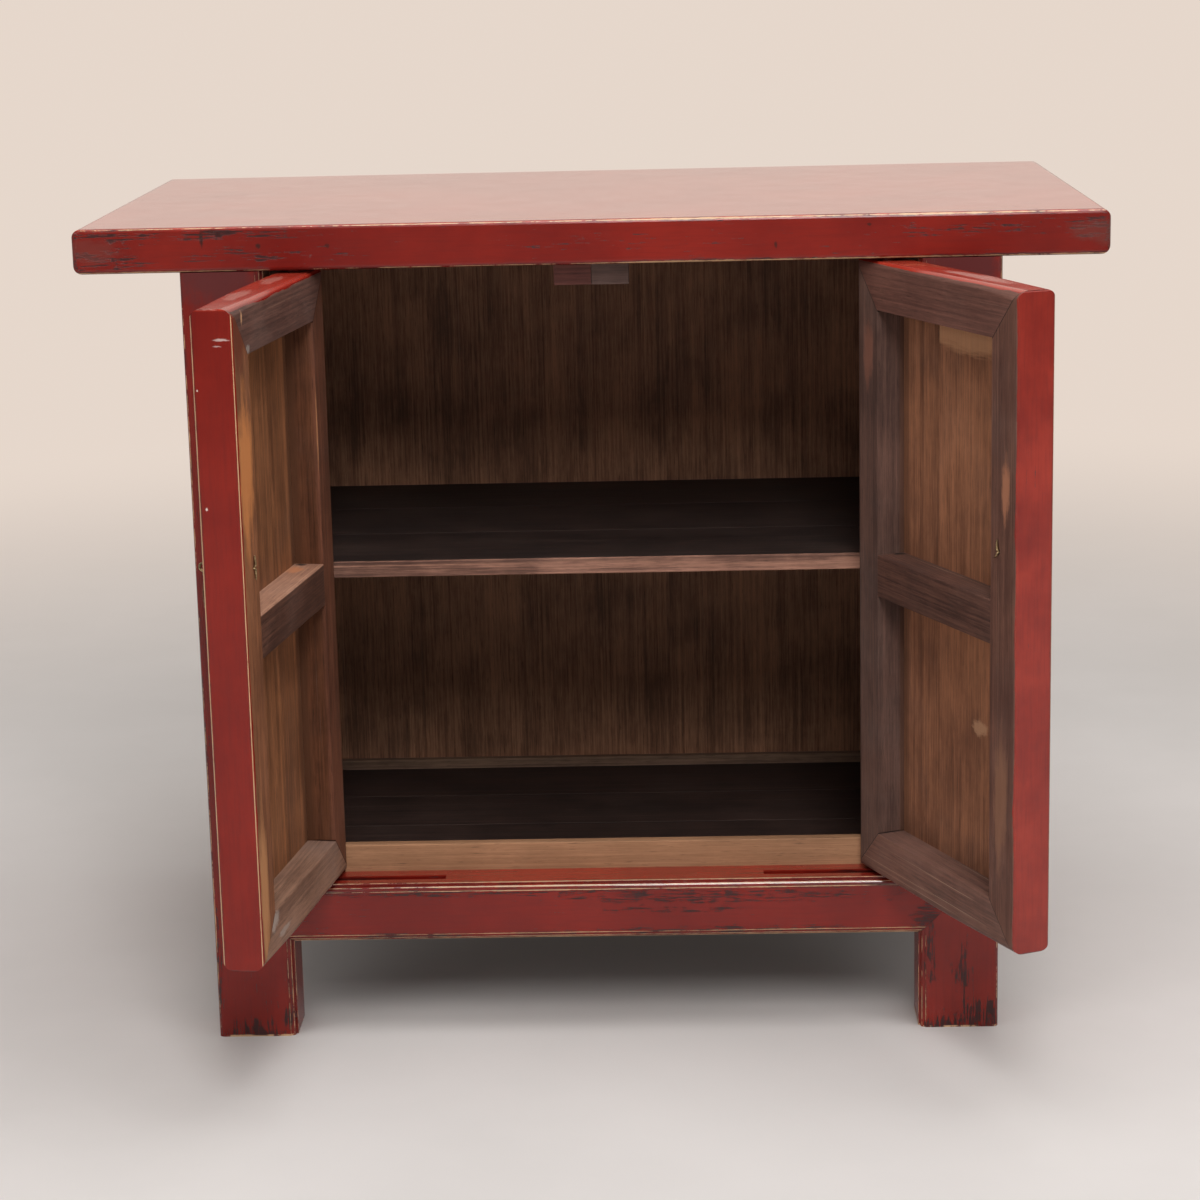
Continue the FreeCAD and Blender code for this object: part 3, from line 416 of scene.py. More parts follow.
def board_wear(tree, place):
    """The front arris is rubbed most on its right half."""
    across = axes_of(tree, place)[0]
    return maths(tree, "MULTIPLY_ADD", ramp_up(tree, across, -0.06, 0.14), 0.45, 0.45)


def board_coat(tree, place):
    """The upper face is polished."""
    return times(tree, board_lit_top(tree, place), 0.72)


board_stains = [
    ((-0.46, board_low.y, 0.762), (0.090, 0.03, 0.018), 1.05),
    ((-0.44, board_low.y, 0.787), (0.080, 0.03, 0.009), 1.00),
    ((-0.33, board_low.y, 0.785), (0.12, 0.03, 0.009), 1.00),
    ((-0.30, board_low.y, 0.766), (0.14, 0.03, 0.012), 0.78),
    ((0.04, board_low.y, 0.772), (0.16, 0.03, 0.012), 0.74),
    ((0.34, board_low.y, 0.777), (0.13, 0.03, 0.010), 0.95),
    ((0.462, board_low.y, 0.775), (0.034, 0.03, 0.018), 1.15),
]
board_marks = [
    ((-0.3585, board_low.y, 0.782), (0.0026, 0.02, 0.011), undercoat, 0.95),
    ((-0.3500, board_low.y, 0.7885), (0.012, 0.02, 0.003), undercoat, 0.9),
    ((-0.3060, board_low.y, 0.7745), (0.0035, 0.02, 0.0035), undercoat, 0.9),
    ((-0.2420, board_low.y, 0.7735), (0.0035, 0.02, 0.0035), undercoat, 0.7),
    ((0.1720, board_low.y, 0.7660), (0.0022, 0.02, 0.0050), undercoat, 0.8),
    ((0.2580, board_low.y, 0.7830), (0.0030, 0.02, 0.0022), undercoat, 0.8),
    ((-0.468, board_low.y, 0.772), (0.055, 0.02, 0.020), (0.15, 0.034, 0.026), 0.50),
    ((0.470, board_low.y, 0.772), (0.045, 0.02, 0.020), (0.14, 0.036, 0.028), 0.55),
]
# The upper face's brighter red is painted light from above.
lacquered("top_board", "x", wear=board_wear, evenness=0.30, streaks=0.45, arris=board_arris,
          tone=board_lit_top, coat=board_coat, stains=board_stains, spots=board_marks)


def long_block(centre, size, along, radius):
    """A trimming block whose four edges along one axis are rounded."""
    bpy.ops.object.select_all(action="DESELECT")
    bpy.ops.mesh.primitive_cube_add(size=1, location=centre)
    block = bpy.context.object
    block.scale = size
    bpy.ops.object.transform_apply(location=True, rotation=True, scale=True)
    bpy.ops.object.mode_set(mode="EDIT")
    bpy.ops.mesh.select_mode(type="EDGE")
    bpy.ops.mesh.select_all(action="DESELECT")
    bpy.ops.object.mode_set(mode="OBJECT")
    for edge in block.data.edges:
        first, last = (block.data.vertices[corner].co for corner in edge.vertices)
        edge.select = abs(first[along] - last[along]) > size[along] / 2
    bpy.ops.object.mode_set(mode="EDIT")
    bpy.ops.mesh.bevel(offset=radius, segments=8, affect="EDGES")
    bpy.ops.mesh.select_mode(type="VERT")
    bpy.ops.mesh.select_all(action="DESELECT")
    bpy.ops.object.mode_set(mode="OBJECT")
    return block


def pick(*objects):
    """Selects these objects alone, with the first one active."""
    bpy.ops.object.select_all(action="DESELECT")
    for chosen in objects:
        chosen.select_set(True)
    bpy.context.view_layer.objects.active = objects[0]


def eased(name, block, body):
    """A piece with its arrises eased: its solid, merged and cut down to a rounded block."""
    piece = bpy.data.objects.new(name + "_eased", frame["nodes"][name].data.copy())
    bpy.context.scene.collection.objects.link(piece)
    pick(piece)
    bpy.ops.mesh.customdata_custom_splitnormals_clear()
    bpy.ops.object.mode_set(mode="EDIT")
    bpy.ops.mesh.select_all(action="SELECT")
    bpy.ops.mesh.remove_doubles(threshold=1e-6)
    bpy.ops.object.mode_set(mode="OBJECT")
    cut = piece.modifiers.new("cut", "BOOLEAN")
    cut.operation, cut.solver, cut.object = "INTERSECT", "EXACT", block
    bpy.ops.object.modifier_apply(modifier="cut")
    bpy.ops.object.shade_smooth_by_angle(angle=math.radians(30))
    piece.modifiers.new("level", "WEIGHTED_NORMAL").keep_sharp = True
    bpy.ops.object.modifier_apply(modifier="level")
    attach(piece, body)
    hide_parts(name)
    bpy.ops.object.select_all(action="DESELECT")


# The board's ends are rounder than its front
end_radius = 0.0100
trim_spare = 0.00005
board_size = board_high - board_low + Vector((2 * trim_spare, 0.1, 2 * trim_spare))
end_block = long_block((board_low + board_high) / 2, board_size, 1, end_radius)
eased("top_board", end_block, "carcase")
bpy.data.objects.remove(end_block)


# Four posts carry the board on stub tenons. The front ones have a bead down the opening's edge,
# which is rubbed along its arrises, and their feet are scuffed and dark.
post_inner = 0.304
moulding_lines = [(0.0065, 0.0), (0.0032, 0.0024), (0.0, 0.007)]
front_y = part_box("left_front_post")[0].y


def nearest_line(tree, inward, deep, edge):
    """The distance from the nearest arris of the moulding or of the piece itself."""
    for line_inward, line_deep in moulding_lines:
        gap = node(tree, "CombineXYZ", {0: minus(tree, inward, line_inward),
                                        1: minus(tree, deep, line_deep)})
        edge = maths(tree, "MINIMUM", edge, how_far(tree, gap.outputs[0]))
    return edge


def post_lines(tree, place, edge):
    """The moulding that runs down a front post."""
    axes = axes_of(tree, place)
    inward = minus(tree, maths(tree, "ABSOLUTE", axes[0]), post_inner)
    return nearest_line(tree, inward, minus(tree, axes[1], front_y), edge)


rail_low, rail_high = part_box("front_bottom_rail")
rail_middle = (rail_low.z + rail_high.z) / 2
rail_half = (rail_high.z - rail_low.z) / 2


def mitre_seam(tree, place):
    """Distance from the mitres where the front rail's points are let into the posts."""
    axes = axes_of(tree, place)
    along = minus(tree, maths(tree, "ABSOLUTE", axes[0]), post_inner + rail_half)
    up = maths(tree, "ABSOLUTE", minus(tree, axes[2], rail_middle))
    return times(tree, maths(tree, "ABSOLUTE", plus(tree, along, up)), math.sqrt(0.5))


post_arris = 0.005
foot_stains = {
    "left": [((-0.345, front_y, 0.0), (0.045, 0.08, 0.030), 1.25),
             ((-0.381, front_y, 0.060), (0.010, 0.05, 0.09), 1.1),
             ((-0.312, front_y, 0.020), (0.010, 0.03, 0.020), 1.3),
             ((-0.381, front_y, 0.30), (0.006, 0.05, 0.12), 0.9)],
    "right": [((0.347, front_y, 0.050), (0.016, 0.05, 0.055), 1.15),
              ((0.362, front_y, 0.012), (0.040, 0.05, 0.026), 1.3),
              ((0.325, front_y, 0.0), (0.030, 0.05, 0.016), 1.3),
              ((0.316, front_y, 0.085), (0.008, 0.05, 0.06), 1.1)],
}
# painted shade at the top of each front post, where the board and the open door shade it; the other marks
# are scuffs on the feet
post_top_shade = (0.085, 0.022, 0.022)
post_marks_and_shade = {
    "left": [((-0.350, front_y, 0.0), (0.028, 0.02, 0.0020), (0.5, 0.31, 0.17), 0.9),
             ((-0.3065, front_y, 0.052), (0.0018, 0.004, 0.030), (0.45, 0.24, 0.13), 0.9),
             ((-0.3065, front_y, 0.012), (0.0018, 0.004, 0.009), (0.45, 0.24, 0.13), 0.8),
             ((-0.345, front_y, 0.745), (0.06, 0.02, 0.060), post_top_shade, 0.75)],
    "right": [((0.345, front_y, 0.745), (0.06, 0.02, 0.050), post_top_shade, 0.85)],
}
foot_tone = {"left": 0.0, "right": 0.12}
for side in ("left", "right"):
    lacquered(side + "_front_post", "z", wear=0.6, evenness=0.1, streaks=0.55, arris=post_arris,
              tone=foot_tone[side], lines=post_lines, seam=mitre_seam,
              stains=foot_stains[side], spots=post_marks_and_shade[side])


# The front rail is the sill as well. Its mitred points are let into the posts, a bead runs
# along its top and bottom, and two slots in the sill lead to the sockets of the doors' pivots.
def rail_lines(tree, place, edge):
    """The moulding along the rail's top and bottom."""
    axes = axes_of(tree, place)
    up = maths(tree, "ABSOLUTE", minus(tree, axes[2], rail_middle))
    inward = minus(tree, rail_half, up)
    return nearest_line(tree, inward, minus(tree, axes[1], front_y), edge)


def sill_lit_top(tree, place):
    """The flat of the sill, behind the bead, is painted a brighter red, as lit from above."""
    axes = axes_of(tree, place)
    up = ramp_up(tree, axes[2], rail_high.z - 0.002, rail_high.z - 0.0005)
    deep = minus(tree, axes[1], front_y)
    behind_bead = ramp_up(tree, deep, 0.006, 0.008)
    return times(tree, up, times(tree, behind_bead, 0.62))


def rail_coat(tree, place):
    """The bead still shines, and the sill a little less."""
    axes = axes_of(tree, place)
    up = ramp_up(tree, axes[2], rail_high.z - 0.0075, rail_high.z - 0.0068)
    deep = ramp_up(tree, minus(tree, axes[1], front_y), 0.006, 0.008)
    return times(tree, up, maths(tree, "MULTIPLY_ADD", deep, -0.6, 1.0))


rail_stains = [
    ((0.313, front_y, 0.112), (0.024, 0.02, 0.024), 1.30),
    ((0.10, front_y, 0.137), (0.28, 0.02, 0.011), 1.08),
    ((0.06, front_y, 0.124), (0.16, 0.02, 0.006), 1.02),
    ((-0.10, front_y, 0.143), (0.26, 0.02, 0.005), 1.02),
    ((0.10, front_y, 0.103), (0.26, 0.02, 0.008), 0.95),
    ((-0.20, front_y, 0.101), (0.12, 0.02, 0.006), 1.10),
]
# painted shade inside the two pivot slots in the sill
slot_shade = [((side * 0.277, front_y + 0.024, rail_high.z - 0.0062), (0.090, 0.030, 0.0072),
              (0.022, 0.008, 0.007), 1.0) for side in (-1, 1)]
lacquered("front_bottom_rail", "x", wear=0.6, evenness=0.6, streaks=0.5, lines=rail_lines,
          seam=mitre_seam, tone=sill_lit_top, stains=rail_stains, coat=rail_coat, spots=slot_shade)


# Two plainer posts stand at the back, and rails and a thin panel close each side. The rails are
# tenoned into the posts, and the panel stands loose in their grooves. All of them are lacquered
# outside, and inside the cabinet they are bare wood, stained dark and left matt.
# Plain wood has dark and light bands, short open pores, fine scratches, and bloom in patches.
g, given, result = new_group(
    "plain wood",
    {"Vector": "Point Stretch", "Color": "Light Dark", "Float": "Bloom Scratches Seam Seed"},
    {"Color": "Color", "Float": "Roughness Height"})
wood_group = g
moved, along = own_point(g, given)
bands = noise(g, along, 90.0, 5.0, 0.6, 0.5)
hairs = noise(g, along, 620.0, 4.0, 0.7)
straight = vectors(g, "MULTIPLY", along, given["Stretch"])
lines = noise(g, straight, 420.0, 5.0, 0.7)
broad = noise(g, moved, 11.0, 5.0, 0.6)
shade = plus(g, times(g, bands, 0.26), times(g, hairs, 0.26))
shade = plus(g, shade, times(g, lines, 0.36))
shade = plus(g, shade, times(g, broad, 0.30))
wood = mixed(g, ramp_up(g, shade, 0.47, 0.74), given["Dark"], given["Light"])
pores = ramp_up(g, noise(g, along, 900.0, 2.0, 0.6), 0.60, 0.72)
wood = mixed(g, times(g, pores, 0.45), wood, (0.02, 0.012, 0.008))
scratch = ramp_up(g, noise(g, straight, 700.0, 2.0, 0.5), 0.69, 0.72)
scratch = times(g, times(g, scratch, given["Scratches"]), 0.8)
wood = mixed(g, scratch, wood, (0.40, 0.27, 0.19))
bloom = ramp_up(g, noise(g, moved, 9.0, 5.0, 0.65), 0.45, 0.75)
bloom = times(g, times(g, bloom, given["Bloom"]), plus(g, 0.1, hairs))
wood = mixed(g, bloom, wood, (0.25, 0.18, 0.155))
seam = ramp_down(g, given["Seam"], 0.0001, 0.0007)
wood = mixed(g, times(g, seam, 0.85), wood, (0.012, 0.008, 0.007))
g.links.new(wood, result.inputs["Color"])
g.links.new(plus(g, 0.50, times(g, bands, 0.2)), result.inputs["Roughness"])
height = times(g, hairs, 0.7)
for hollow, depth in ((pores, 0.5), (scratch, 0.5), (seam, 0.8)):
    height = minus(g, height, times(g, hollow, depth))
g.links.new(height, result.inputs["Height"])


def wood_finish(tree, place, grain, light, dark, bloom, scratches, patch=None, seam=1.0):
    """The plain wood group, with other colours in one patch if there is one."""
    if patch:
        centre, size, patch_light, patch_dark = patch
        out = from_centre(tree, place, centre, size)[1]
        mask = ramp_down(tree, out, 0.85, 1.1)
        light = mixed(tree, mask, light, patch_light)
        dark = mixed(tree, mask, dark, patch_dark)
    return grouped(tree, wood_group, {
        "Point": place, "Stretch": across_grain[grain], "Light": light, "Dark": dark,
        "Bloom": bloom, "Scratches": scratches, "Seam": seam,
        "Seed": next(piece_seeds) * seed_step})


wood_shine = 0.25
wood_relief = 0.0003


def wooden(name, grain, light, dark, bloom=0.1, patch=None):
    """Plain wood on one piece."""
    material, tree, shader, place = new_material("wood_" + name)
    finish = wood_finish(tree, place, grain, light, dark, bloom, 0.2, patch)
    dress(name, material, tree, shader, finish, wood_shine, wood_relief)


side_middle = 0.364
far = 1.0
side_shine = 0.35
bare_light, bare_dark = (0.115, 0.066, 0.046), (0.040, 0.023, 0.017)


def lacquered_outside(name, grain, wear, streaks=0.5, arris=0.0, rear=far):
    """Worn lacquer on the outer side, and bare wood on what faces into the cabinet."""
    material, tree, shader, place = new_material("side_" + name)
    axes = axes_of(tree, place)
    inward = minus(tree, side_middle, maths(tree, "ABSOLUTE", axes[0]))
    inside = ramp_up(tree, inward, -0.0002, 0.0002)
    ahead = minus(tree, rear, axes[1])
    inside = times(tree, inside, ramp_up(tree, ahead, -0.0002, 0.0002))
    edge = arris_distance(tree, place, *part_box(name), arris)
    red = red_lacquer(tree, place, grain, edge, wear, streaks)
    bare = wood_finish(tree, place, grain, bare_light, bare_dark, 0.15, 0.3)
    finish = [mixed(tree, inside, outer, inner) for outer, inner in zip(red, bare)]
    dress(name, material, tree, shader, finish, side_shine)


rear_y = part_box("left_back_post")[1].y
for side in ("left", "right"):
    lacquered_outside(side + "_back_post", "z", 0.5, 0.4, post_arris, rear_y - post_arris)
    lacquered_outside(side + "_side_bottom_rail", "y", 0.5)
    lacquered_outside(side + "_side_top_rail", "y", 0.3)
    lacquered_outside(side + "_side_panel", "z", 0.0, 0.3)


# The back, the floor and the shelf are thin boards, stained dark and left matt.
def boards(place):
    """The names of the boards in one place."""
    return [name for name in sorted(frame["nodes"]) if name.startswith(place + "_board")]


for name in boards("back"):
    wooden(name, "z", (0.52, 0.243, 0.134), (0.15, 0.070, 0.041), 0.05)
wooden("back_top_rail", "x", (0.12, 0.07, 0.045), (0.05, 0.03, 0.02))
wooden("back_bottom_rail", "x", (0.34, 0.20, 0.13), (0.14, 0.08, 0.055))
for name in boards("floor"):
    wooden(name, "x", (0.075, 0.042, 0.034), (0.026, 0.016, 0.014), 0.1)
wooden("floor_bearer", "y", (0.10, 0.06, 0.04), (0.04, 0.024, 0.018))

# The shelf is three boards that lie loose on a cleat at each side. The front board's edge is
# rough and bare.
shelf_front = min(boards("shelf"), key=lambda name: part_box(name)[0].y)
shelf_low, shelf_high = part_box(shelf_front)
shelf_edge = ((0, shelf_low.y, shelf_low.z), (3.0, 0.0016, 0.030),
              (0.44, 0.22, 0.15), (0.10, 0.046, 0.033))
for name in boards("shelf"):
    wooden(name, "x", (0.064, 0.040, 0.033), (0.019, 0.013, 0.012), 0.1,
           patch=shelf_edge if name == shelf_front else None)
for side in ("left", "right"):
    wooden(side + "_shelf_cleat", "y", (0.09, 0.05, 0.035), (0.03, 0.018, 0.013))

# A raw strip on the sill stops the closed doors below, and two blocks stop them above.
wooden("door_stop_strip", "x", (0.462, 0.239, 0.128), (0.293, 0.149, 0.077), 0.05)
wooden("left_head_stop", "x", (0.20, 0.07, 0.055), (0.10, 0.035, 0.03), 0.2)
wooden("right_head_stop", "x", (0.17, 0.10, 0.085), (0.09, 0.055, 0.045), 0.4)


# Each door is a mitred frame that turns on two wooden pivots. The frame is lacquered outside, on
# its edges and a little way round its inner arris, and it is bare wood inside. The finish is laid
# out on the closed door, with X from the pivot, Y from the outer face to the back and Z up.
door_places = {}
for side in ("left", "right"):
    hinge = next(joint for joint in frame["joints"] if joint["name"] == side + "_door_hinge")
    closing = math.radians(hinge["range_deg"][1]) * hinge["axis"][2]
    turn = Matrix.Rotation(closing, 3, "Z")
    shift = -(turn @ Vector((hinge["pos_m"][0], hinge["pos_m"][1], 0)))
    outline = [turn @ corner.co + shift for piece in ("hinge_stile", "free_stile")
               for corner in frame["nodes"][f"{side}_door_{piece}"].data.vertices]
    free_low, free_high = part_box(side + "_door_free_stile")
    low = Vector((min(c.x for c in outline), min(c.y for c in outline), free_low.z))
    high = Vector((max(c.x for c in outline), max(c.y for c in outline), free_high.z))
    door_places[side] = (closing, shift, low, high)

stile_width = 0.043
mitre_low_slope = stile_width / 0.042
mitre_high_slope = stile_width / 0.045
lacquer_depth = 0.0055
door_arris = 0.004
rub_reach = {"left": 0.0026, "right": 0.0012}
rub_spread = 0.0022
door_wear = {"left": (0.55, 0.22), "right": (0.25, 0.05)}
door_tone = {"left": 0.05, "right": 0.42}
face_tone = 0.09
door_top_coat = {"left": 0.28, "right": 0.45}
door_end_coat = {"left": 0.42, "right": 0.60}
door_coat_roughness = 0.08
door_shine = 0.3


def door_piece(side, piece, grain, light, dark, bloom=0.2, scratches=0.3, spots=(), patch=None,
               marks=(), shine=door_shine):
    """One piece of a door: lacquer outside and on the edges, bare wood inside."""
    closing, shift, low, high = door_places[side]
    name = f"{side}_door_{piece}"
    material, tree, shader, place = new_material("finish_" + name)
    place = node(tree, "Mapping", {"Vector": place, "Location": shift,
                                   "Rotation": (0, 0, closing)}).outputs[0]
    axes = axes_of(tree, place)
    from_side = maths(tree, "MINIMUM", minus(tree, axes[0], low.x), minus(tree, high.x, axes[0]))
    from_foot = times(tree, minus(tree, axes[2], low.z), mitre_low_slope)
    from_head = times(tree, minus(tree, high.z, axes[2]), mitre_high_slope)
    from_end = maths(tree, "MINIMUM", from_foot, from_head)
    seam = maths(tree, "ABSOLUTE", minus(tree, from_side, from_end))
    seam = times(tree, seam, math.sqrt(0.5))
    if piece not in ("hinge_stile", "free_stile", "top_rail", "bottom_rail"):
        seam = 1.0
    # only the upright arrises are rubbed, the outer one most
    beyond = Vector((0, 0, far))
    edge = arris_distance(tree, place, low - beyond, high + beyond, door_arris)
    outer, inner = door_wear[side]
    wear = maths(tree, "MULTIPLY_ADD", ramp_up(tree, axes[1], low.y, high.y), inner - outer, outer)
    # the edges have faded in clouds, and the top is painted the brightest red, as lit from above
    top = ramp_up(tree, axes[2], high.z - 0.0025, high.z - 0.0008)
    cloud = ramp_up(tree, noise(tree, place, 12.0, 4.0, 0.6), 0.25, 0.75)
    faded = ramp_up(tree, axes[1], low.y + 0.0005, low.y + 0.0045)
    strength = maths(tree, "MULTIPLY_ADD", faded, 2 * (door_tone[side] - face_tone), 2 * face_tone)
    tone = times(tree, cloud, strength)
    tone = maths(tree, "MAXIMUM", tone, times(tree, top, 0.95))
    red = red_lacquer(tree, place, grain, edge, wear, 0.25, seam, Evenness=0.9, Tone=tone)
    red_colour = add_spots(tree, place, red["Color"], marks)
    bare = wood_finish(tree, place, grain, light, dark, bloom, scratches, patch, seam)
    # where the lacquer ends: ragged along the inner arris, and behind the planks' outer face
    reach = ramp_up(tree, noise(tree, place, 16.0, 4.0, 0.6), 0.42, 0.80)
    reach = maths(tree, "MULTIPLY_ADD", reach, rub_spread, rub_reach[side])
    from_edge = maths(tree, "MINIMUM", from_side, from_end)
    inside = ramp_up(tree, from_edge, reach, plus(tree, reach, 0.0003))
    depth = minus(tree, axes[1], low.y + lacquer_depth)
    inside = times(tree, inside, ramp_up(tree, depth, 0.0, 0.0005))
    wood_colour = add_spots(tree, place, bare["Color"], spots)
    # the bare inside may shine less than the lacquer, whose edges are polished by hands
    end = ramp_down(tree, from_side, 0.0005, 0.004)
    coat = maths(tree, "MAXIMUM", times(tree, top, door_top_coat[side]),
                 times(tree, end, door_end_coat[side]))
    coat = maths(tree, "MAXIMUM", coat, 2 * (door_shine - shine))
    coat = times(tree, coat, minus(tree, 1.0, inside))
    tree.links.new(coat, shader.inputs["Coat Weight"])
    shader.inputs["Coat Roughness"].default_value = door_coat_roughness
    finish = (mixed(tree, inside, red_colour, wood_colour),
              mixed(tree, inside, red["Roughness"], bare["Roughness"]),
              mixed(tree, inside, red["Height"], bare["Height"]))
    dress(name, material, tree, shader, finish, shine, wood_relief)


# Blotches on the bare inside: places, half sizes, colours and strengths, from the free edge in.
# Patches have other wood colours, and marks lie on the lacquer. Some are painted shade, sheen or
# highlight, as noted at each.
film = (0.42, 0.36, 0.32)
tan = (0.46, 0.22, 0.10)
pale = (0.60, 0.44, 0.40)
# painted shade, with some dirt, where each plank meets the side of its hinge stile
corner_shade_and_dirt = (0.085, 0.034, 0.017)
left_free = door_places["left"][3].x
right_free = door_places["right"][2].x
left_stile_side = door_places["left"][2].x + stile_width
right_stile_side = door_places["right"][3].x - stile_width
door_top = door_places["left"][3].z
inner_face = 0.0205
doors = {
    "left": {
        "free_stile": dict(
            grain="z", light=(0.310, 0.125, 0.060), dark=(0.125, 0.050, 0.026), bloom=0.1,
            shine=0.12, scratches=0.4, spots=[
                ((left_free - 0.020, inner_face, 0.600), (0.030, 0.1, 0.095), (0.56, 0.215, 0.075), 0.85),
                ((left_free - 0.020, inner_face, 0.730), (0.040, 0.1, 0.050), (0.130, 0.036, 0.020), 0.95),
                ((left_free - 0.014, inner_face, 0.22), (0.018, 0.1, 0.110), tan, 0.85)],
            marks=[((left_free, 0.011, 0.7215), (0.02, 0.010, 0.0016), pale, 0.75),
                   ((left_free, 0.007, 0.7160), (0.02, 0.006, 0.0010), pale, 0.55),
                   ((left_free, -0.0125, 0.678), (0.02, 0.0010, 0.0012), (0.75, 0.62, 0.55), 0.9),
                   ((left_free, -0.0095, 0.575), (0.02, 0.0014, 0.0018), (0.75, 0.62, 0.55), 0.9),
                   # a pale patch of painted sheen on the door's top
                   ((0.26, 0.0, door_top), (0.030, 0.016, 0.0025), (0.50, 0.25, 0.21), 0.6)]),
        "hinge_stile": dict(
            grain="z", light=(0.185, 0.070, 0.040), dark=(0.076, 0.029, 0.017), bloom=0.12,
            shine=0.12, scratches=0.6, spots=[
                # painted shade, with some dirt, in the corner beside the stile's inner side
                ((left_stile_side, -0.006, 0.45), (0.012, 0.010, 2.0), corner_shade_and_dirt, 0.8),
                # a thin line of painted highlight down the arris of the stile's inner side
                ((left_stile_side, inner_face, 0.600), (0.0011, 0.0011, 0.060), tan, 0.6)],
            patch=((left_stile_side, -0.007, 0.45), (0.004, 0.025, 2.0),
                   (0.150, 0.056, 0.026), (0.055, 0.020, 0.010))),
        "top_rail": dict(
            grain="x", light=(0.150, 0.068, 0.050), dark=(0.060, 0.028, 0.022), bloom=0.3,
            scratches=0.5, spots=[
                ((left_free - 0.043, inner_face, 0.707), (0.010, 0.1, 0.008), film, 0.45),
                ((0.247, inner_face, 0.7365), (0.0035, 0.1, 0.008), (0.55, 0.30, 0.16), 0.85)],
            # pale patches of painted sheen on the door's top
            marks=[((0.19, 0.0, door_top), (0.060, 0.018, 0.0025), (0.50, 0.22, 0.18), 0.6),
                   ((0.08, 0.0, door_top), (0.050, 0.018, 0.0025), (0.50, 0.22, 0.18), 0.5)]),
        "bottom_rail": dict(
            grain="x", light=(0.300, 0.165, 0.108), dark=(0.110, 0.055, 0.036), bloom=0.6,
            scratches=0.7, spots=[
                ((left_free - 0.040, inner_face, 0.190), (0.022, 0.1, 0.014), film, 0.6),
                ((left_free - 0.070, inner_face, 0.172), (0.030, 0.1, 0.006), film, 0.5)]),
        "middle_rail": dict(
            grain="x", light=(0.150, 0.064, 0.040), dark=(0.050, 0.021, 0.014), bloom=0.15,
            scratches=0.6, patch=((0.13, 0.0, 0.475), (0.5, 0.1, 0.0045), (0.50, 0.27, 0.175),
                                  (0.26, 0.125, 0.08)), spots=[
                ((0.045, 0.0, 0.472), (0.020, 0.012, 0.004), (0.50, 0.20, 0.09), 0.8),
                ((0.022, 0.0, 0.472), (0.006, 0.008, 0.004), (0.01, 0.008, 0.007), 0.9)]),
        "wide_plank": dict(
            grain="z", light=(0.350, 0.140, 0.058), dark=(0.120, 0.046, 0.020), bloom=0.12,
            scratches=0.15),
        "narrow_plank": dict(
            grain="z", light=(0.330, 0.130, 0.054), dark=(0.110, 0.042, 0.018), bloom=0.12,
            # painted shade, with some dirt, in the corner where the plank meets the stile
            scratches=0.15, spots=[((0.020, -0.007, 0.45), (0.014, 0.02, 2.0), corner_shade_and_dirt, 0.7)]),
    },
    "right": {
        "free_stile": dict(
            grain="z", light=(0.180, 0.084, 0.058), dark=(0.082, 0.037, 0.028), bloom=0.2,
            shine=0.2, scratches=0.45, spots=[
                ((right_free + 0.018, inner_face, 0.572), (0.010, 0.1, 0.040), (0.40, 0.17, 0.095), 0.8),
                ((right_free + 0.024, inner_face, 0.290), (0.018, 0.1, 0.090), (0.25, 0.12, 0.072), 0.7)],
            # a pale patch of painted sheen on the door's top
            marks=[((-0.26, 0.0, door_top), (0.020, 0.018, 0.0025), (0.60, 0.34, 0.29), 0.7)]),
        "hinge_stile": dict(
            grain="z", light=(0.165, 0.086, 0.064), dark=(0.060, 0.032, 0.026), bloom=0.25,
            scratches=0.5, spots=[
                ((0.0, inner_face, 0.660), (0.015, 0.1, 0.050), (0.25, 0.100, 0.065), 0.6),
                # painted shade, with some dirt, in the corner beside the stile's inner side
                ((right_stile_side, -0.006, 0.45), (0.012, 0.006, 2.0), corner_shade_and_dirt, 0.6)]),
        "top_rail": dict(
            grain="x", light=(0.180, 0.077, 0.056), dark=(0.088, 0.037, 0.028), bloom=0.2,
            scratches=0.3,
            # a pale patch of painted sheen on the door's top
            marks=[((-0.17, 0.0, door_top), (0.090, 0.018, 0.0025), (0.62, 0.36, 0.31), 0.7)]),
        "bottom_rail": dict(
            grain="x", light=(0.205, 0.097, 0.070), dark=(0.087, 0.042, 0.032), bloom=0.2,
            scratches=0.9),
        "middle_rail": dict(
            grain="x", light=(0.135, 0.060, 0.041), dark=(0.048, 0.022, 0.017), bloom=0.15,
            scratches=0.7, spots=[
                ((-0.022, 0.0, 0.472), (0.006, 0.008, 0.004), (0.01, 0.008, 0.007), 0.9)]),
        "wide_plank": dict(
            grain="z", light=(0.370, 0.155, 0.078), dark=(0.130, 0.052, 0.028), bloom=0.12,
            scratches=0.15, spots=[
                ((-0.16, -0.007, 0.690), (0.20, 0.1, 0.022), (0.56, 0.29, 0.15), 0.6),
                ((-0.165, -0.007, 0.335), (0.022, 0.1, 0.012), (0.50, 0.28, 0.16), 0.6)]),
        "narrow_plank": dict(
            grain="z", light=(0.350, 0.147, 0.074), dark=(0.125, 0.050, 0.027), bloom=0.12,
            scratches=0.15, spots=[
                # painted shade, with some dirt, in the corner where the plank meets the stile
                ((-0.020, -0.007, 0.45), (0.014, 0.02, 2.0), corner_shade_and_dirt, 0.6)]),
    },
}
for side, pieces in doors.items():
    for piece, finish in pieces.items():
        door_piece(side, piece, **finish)

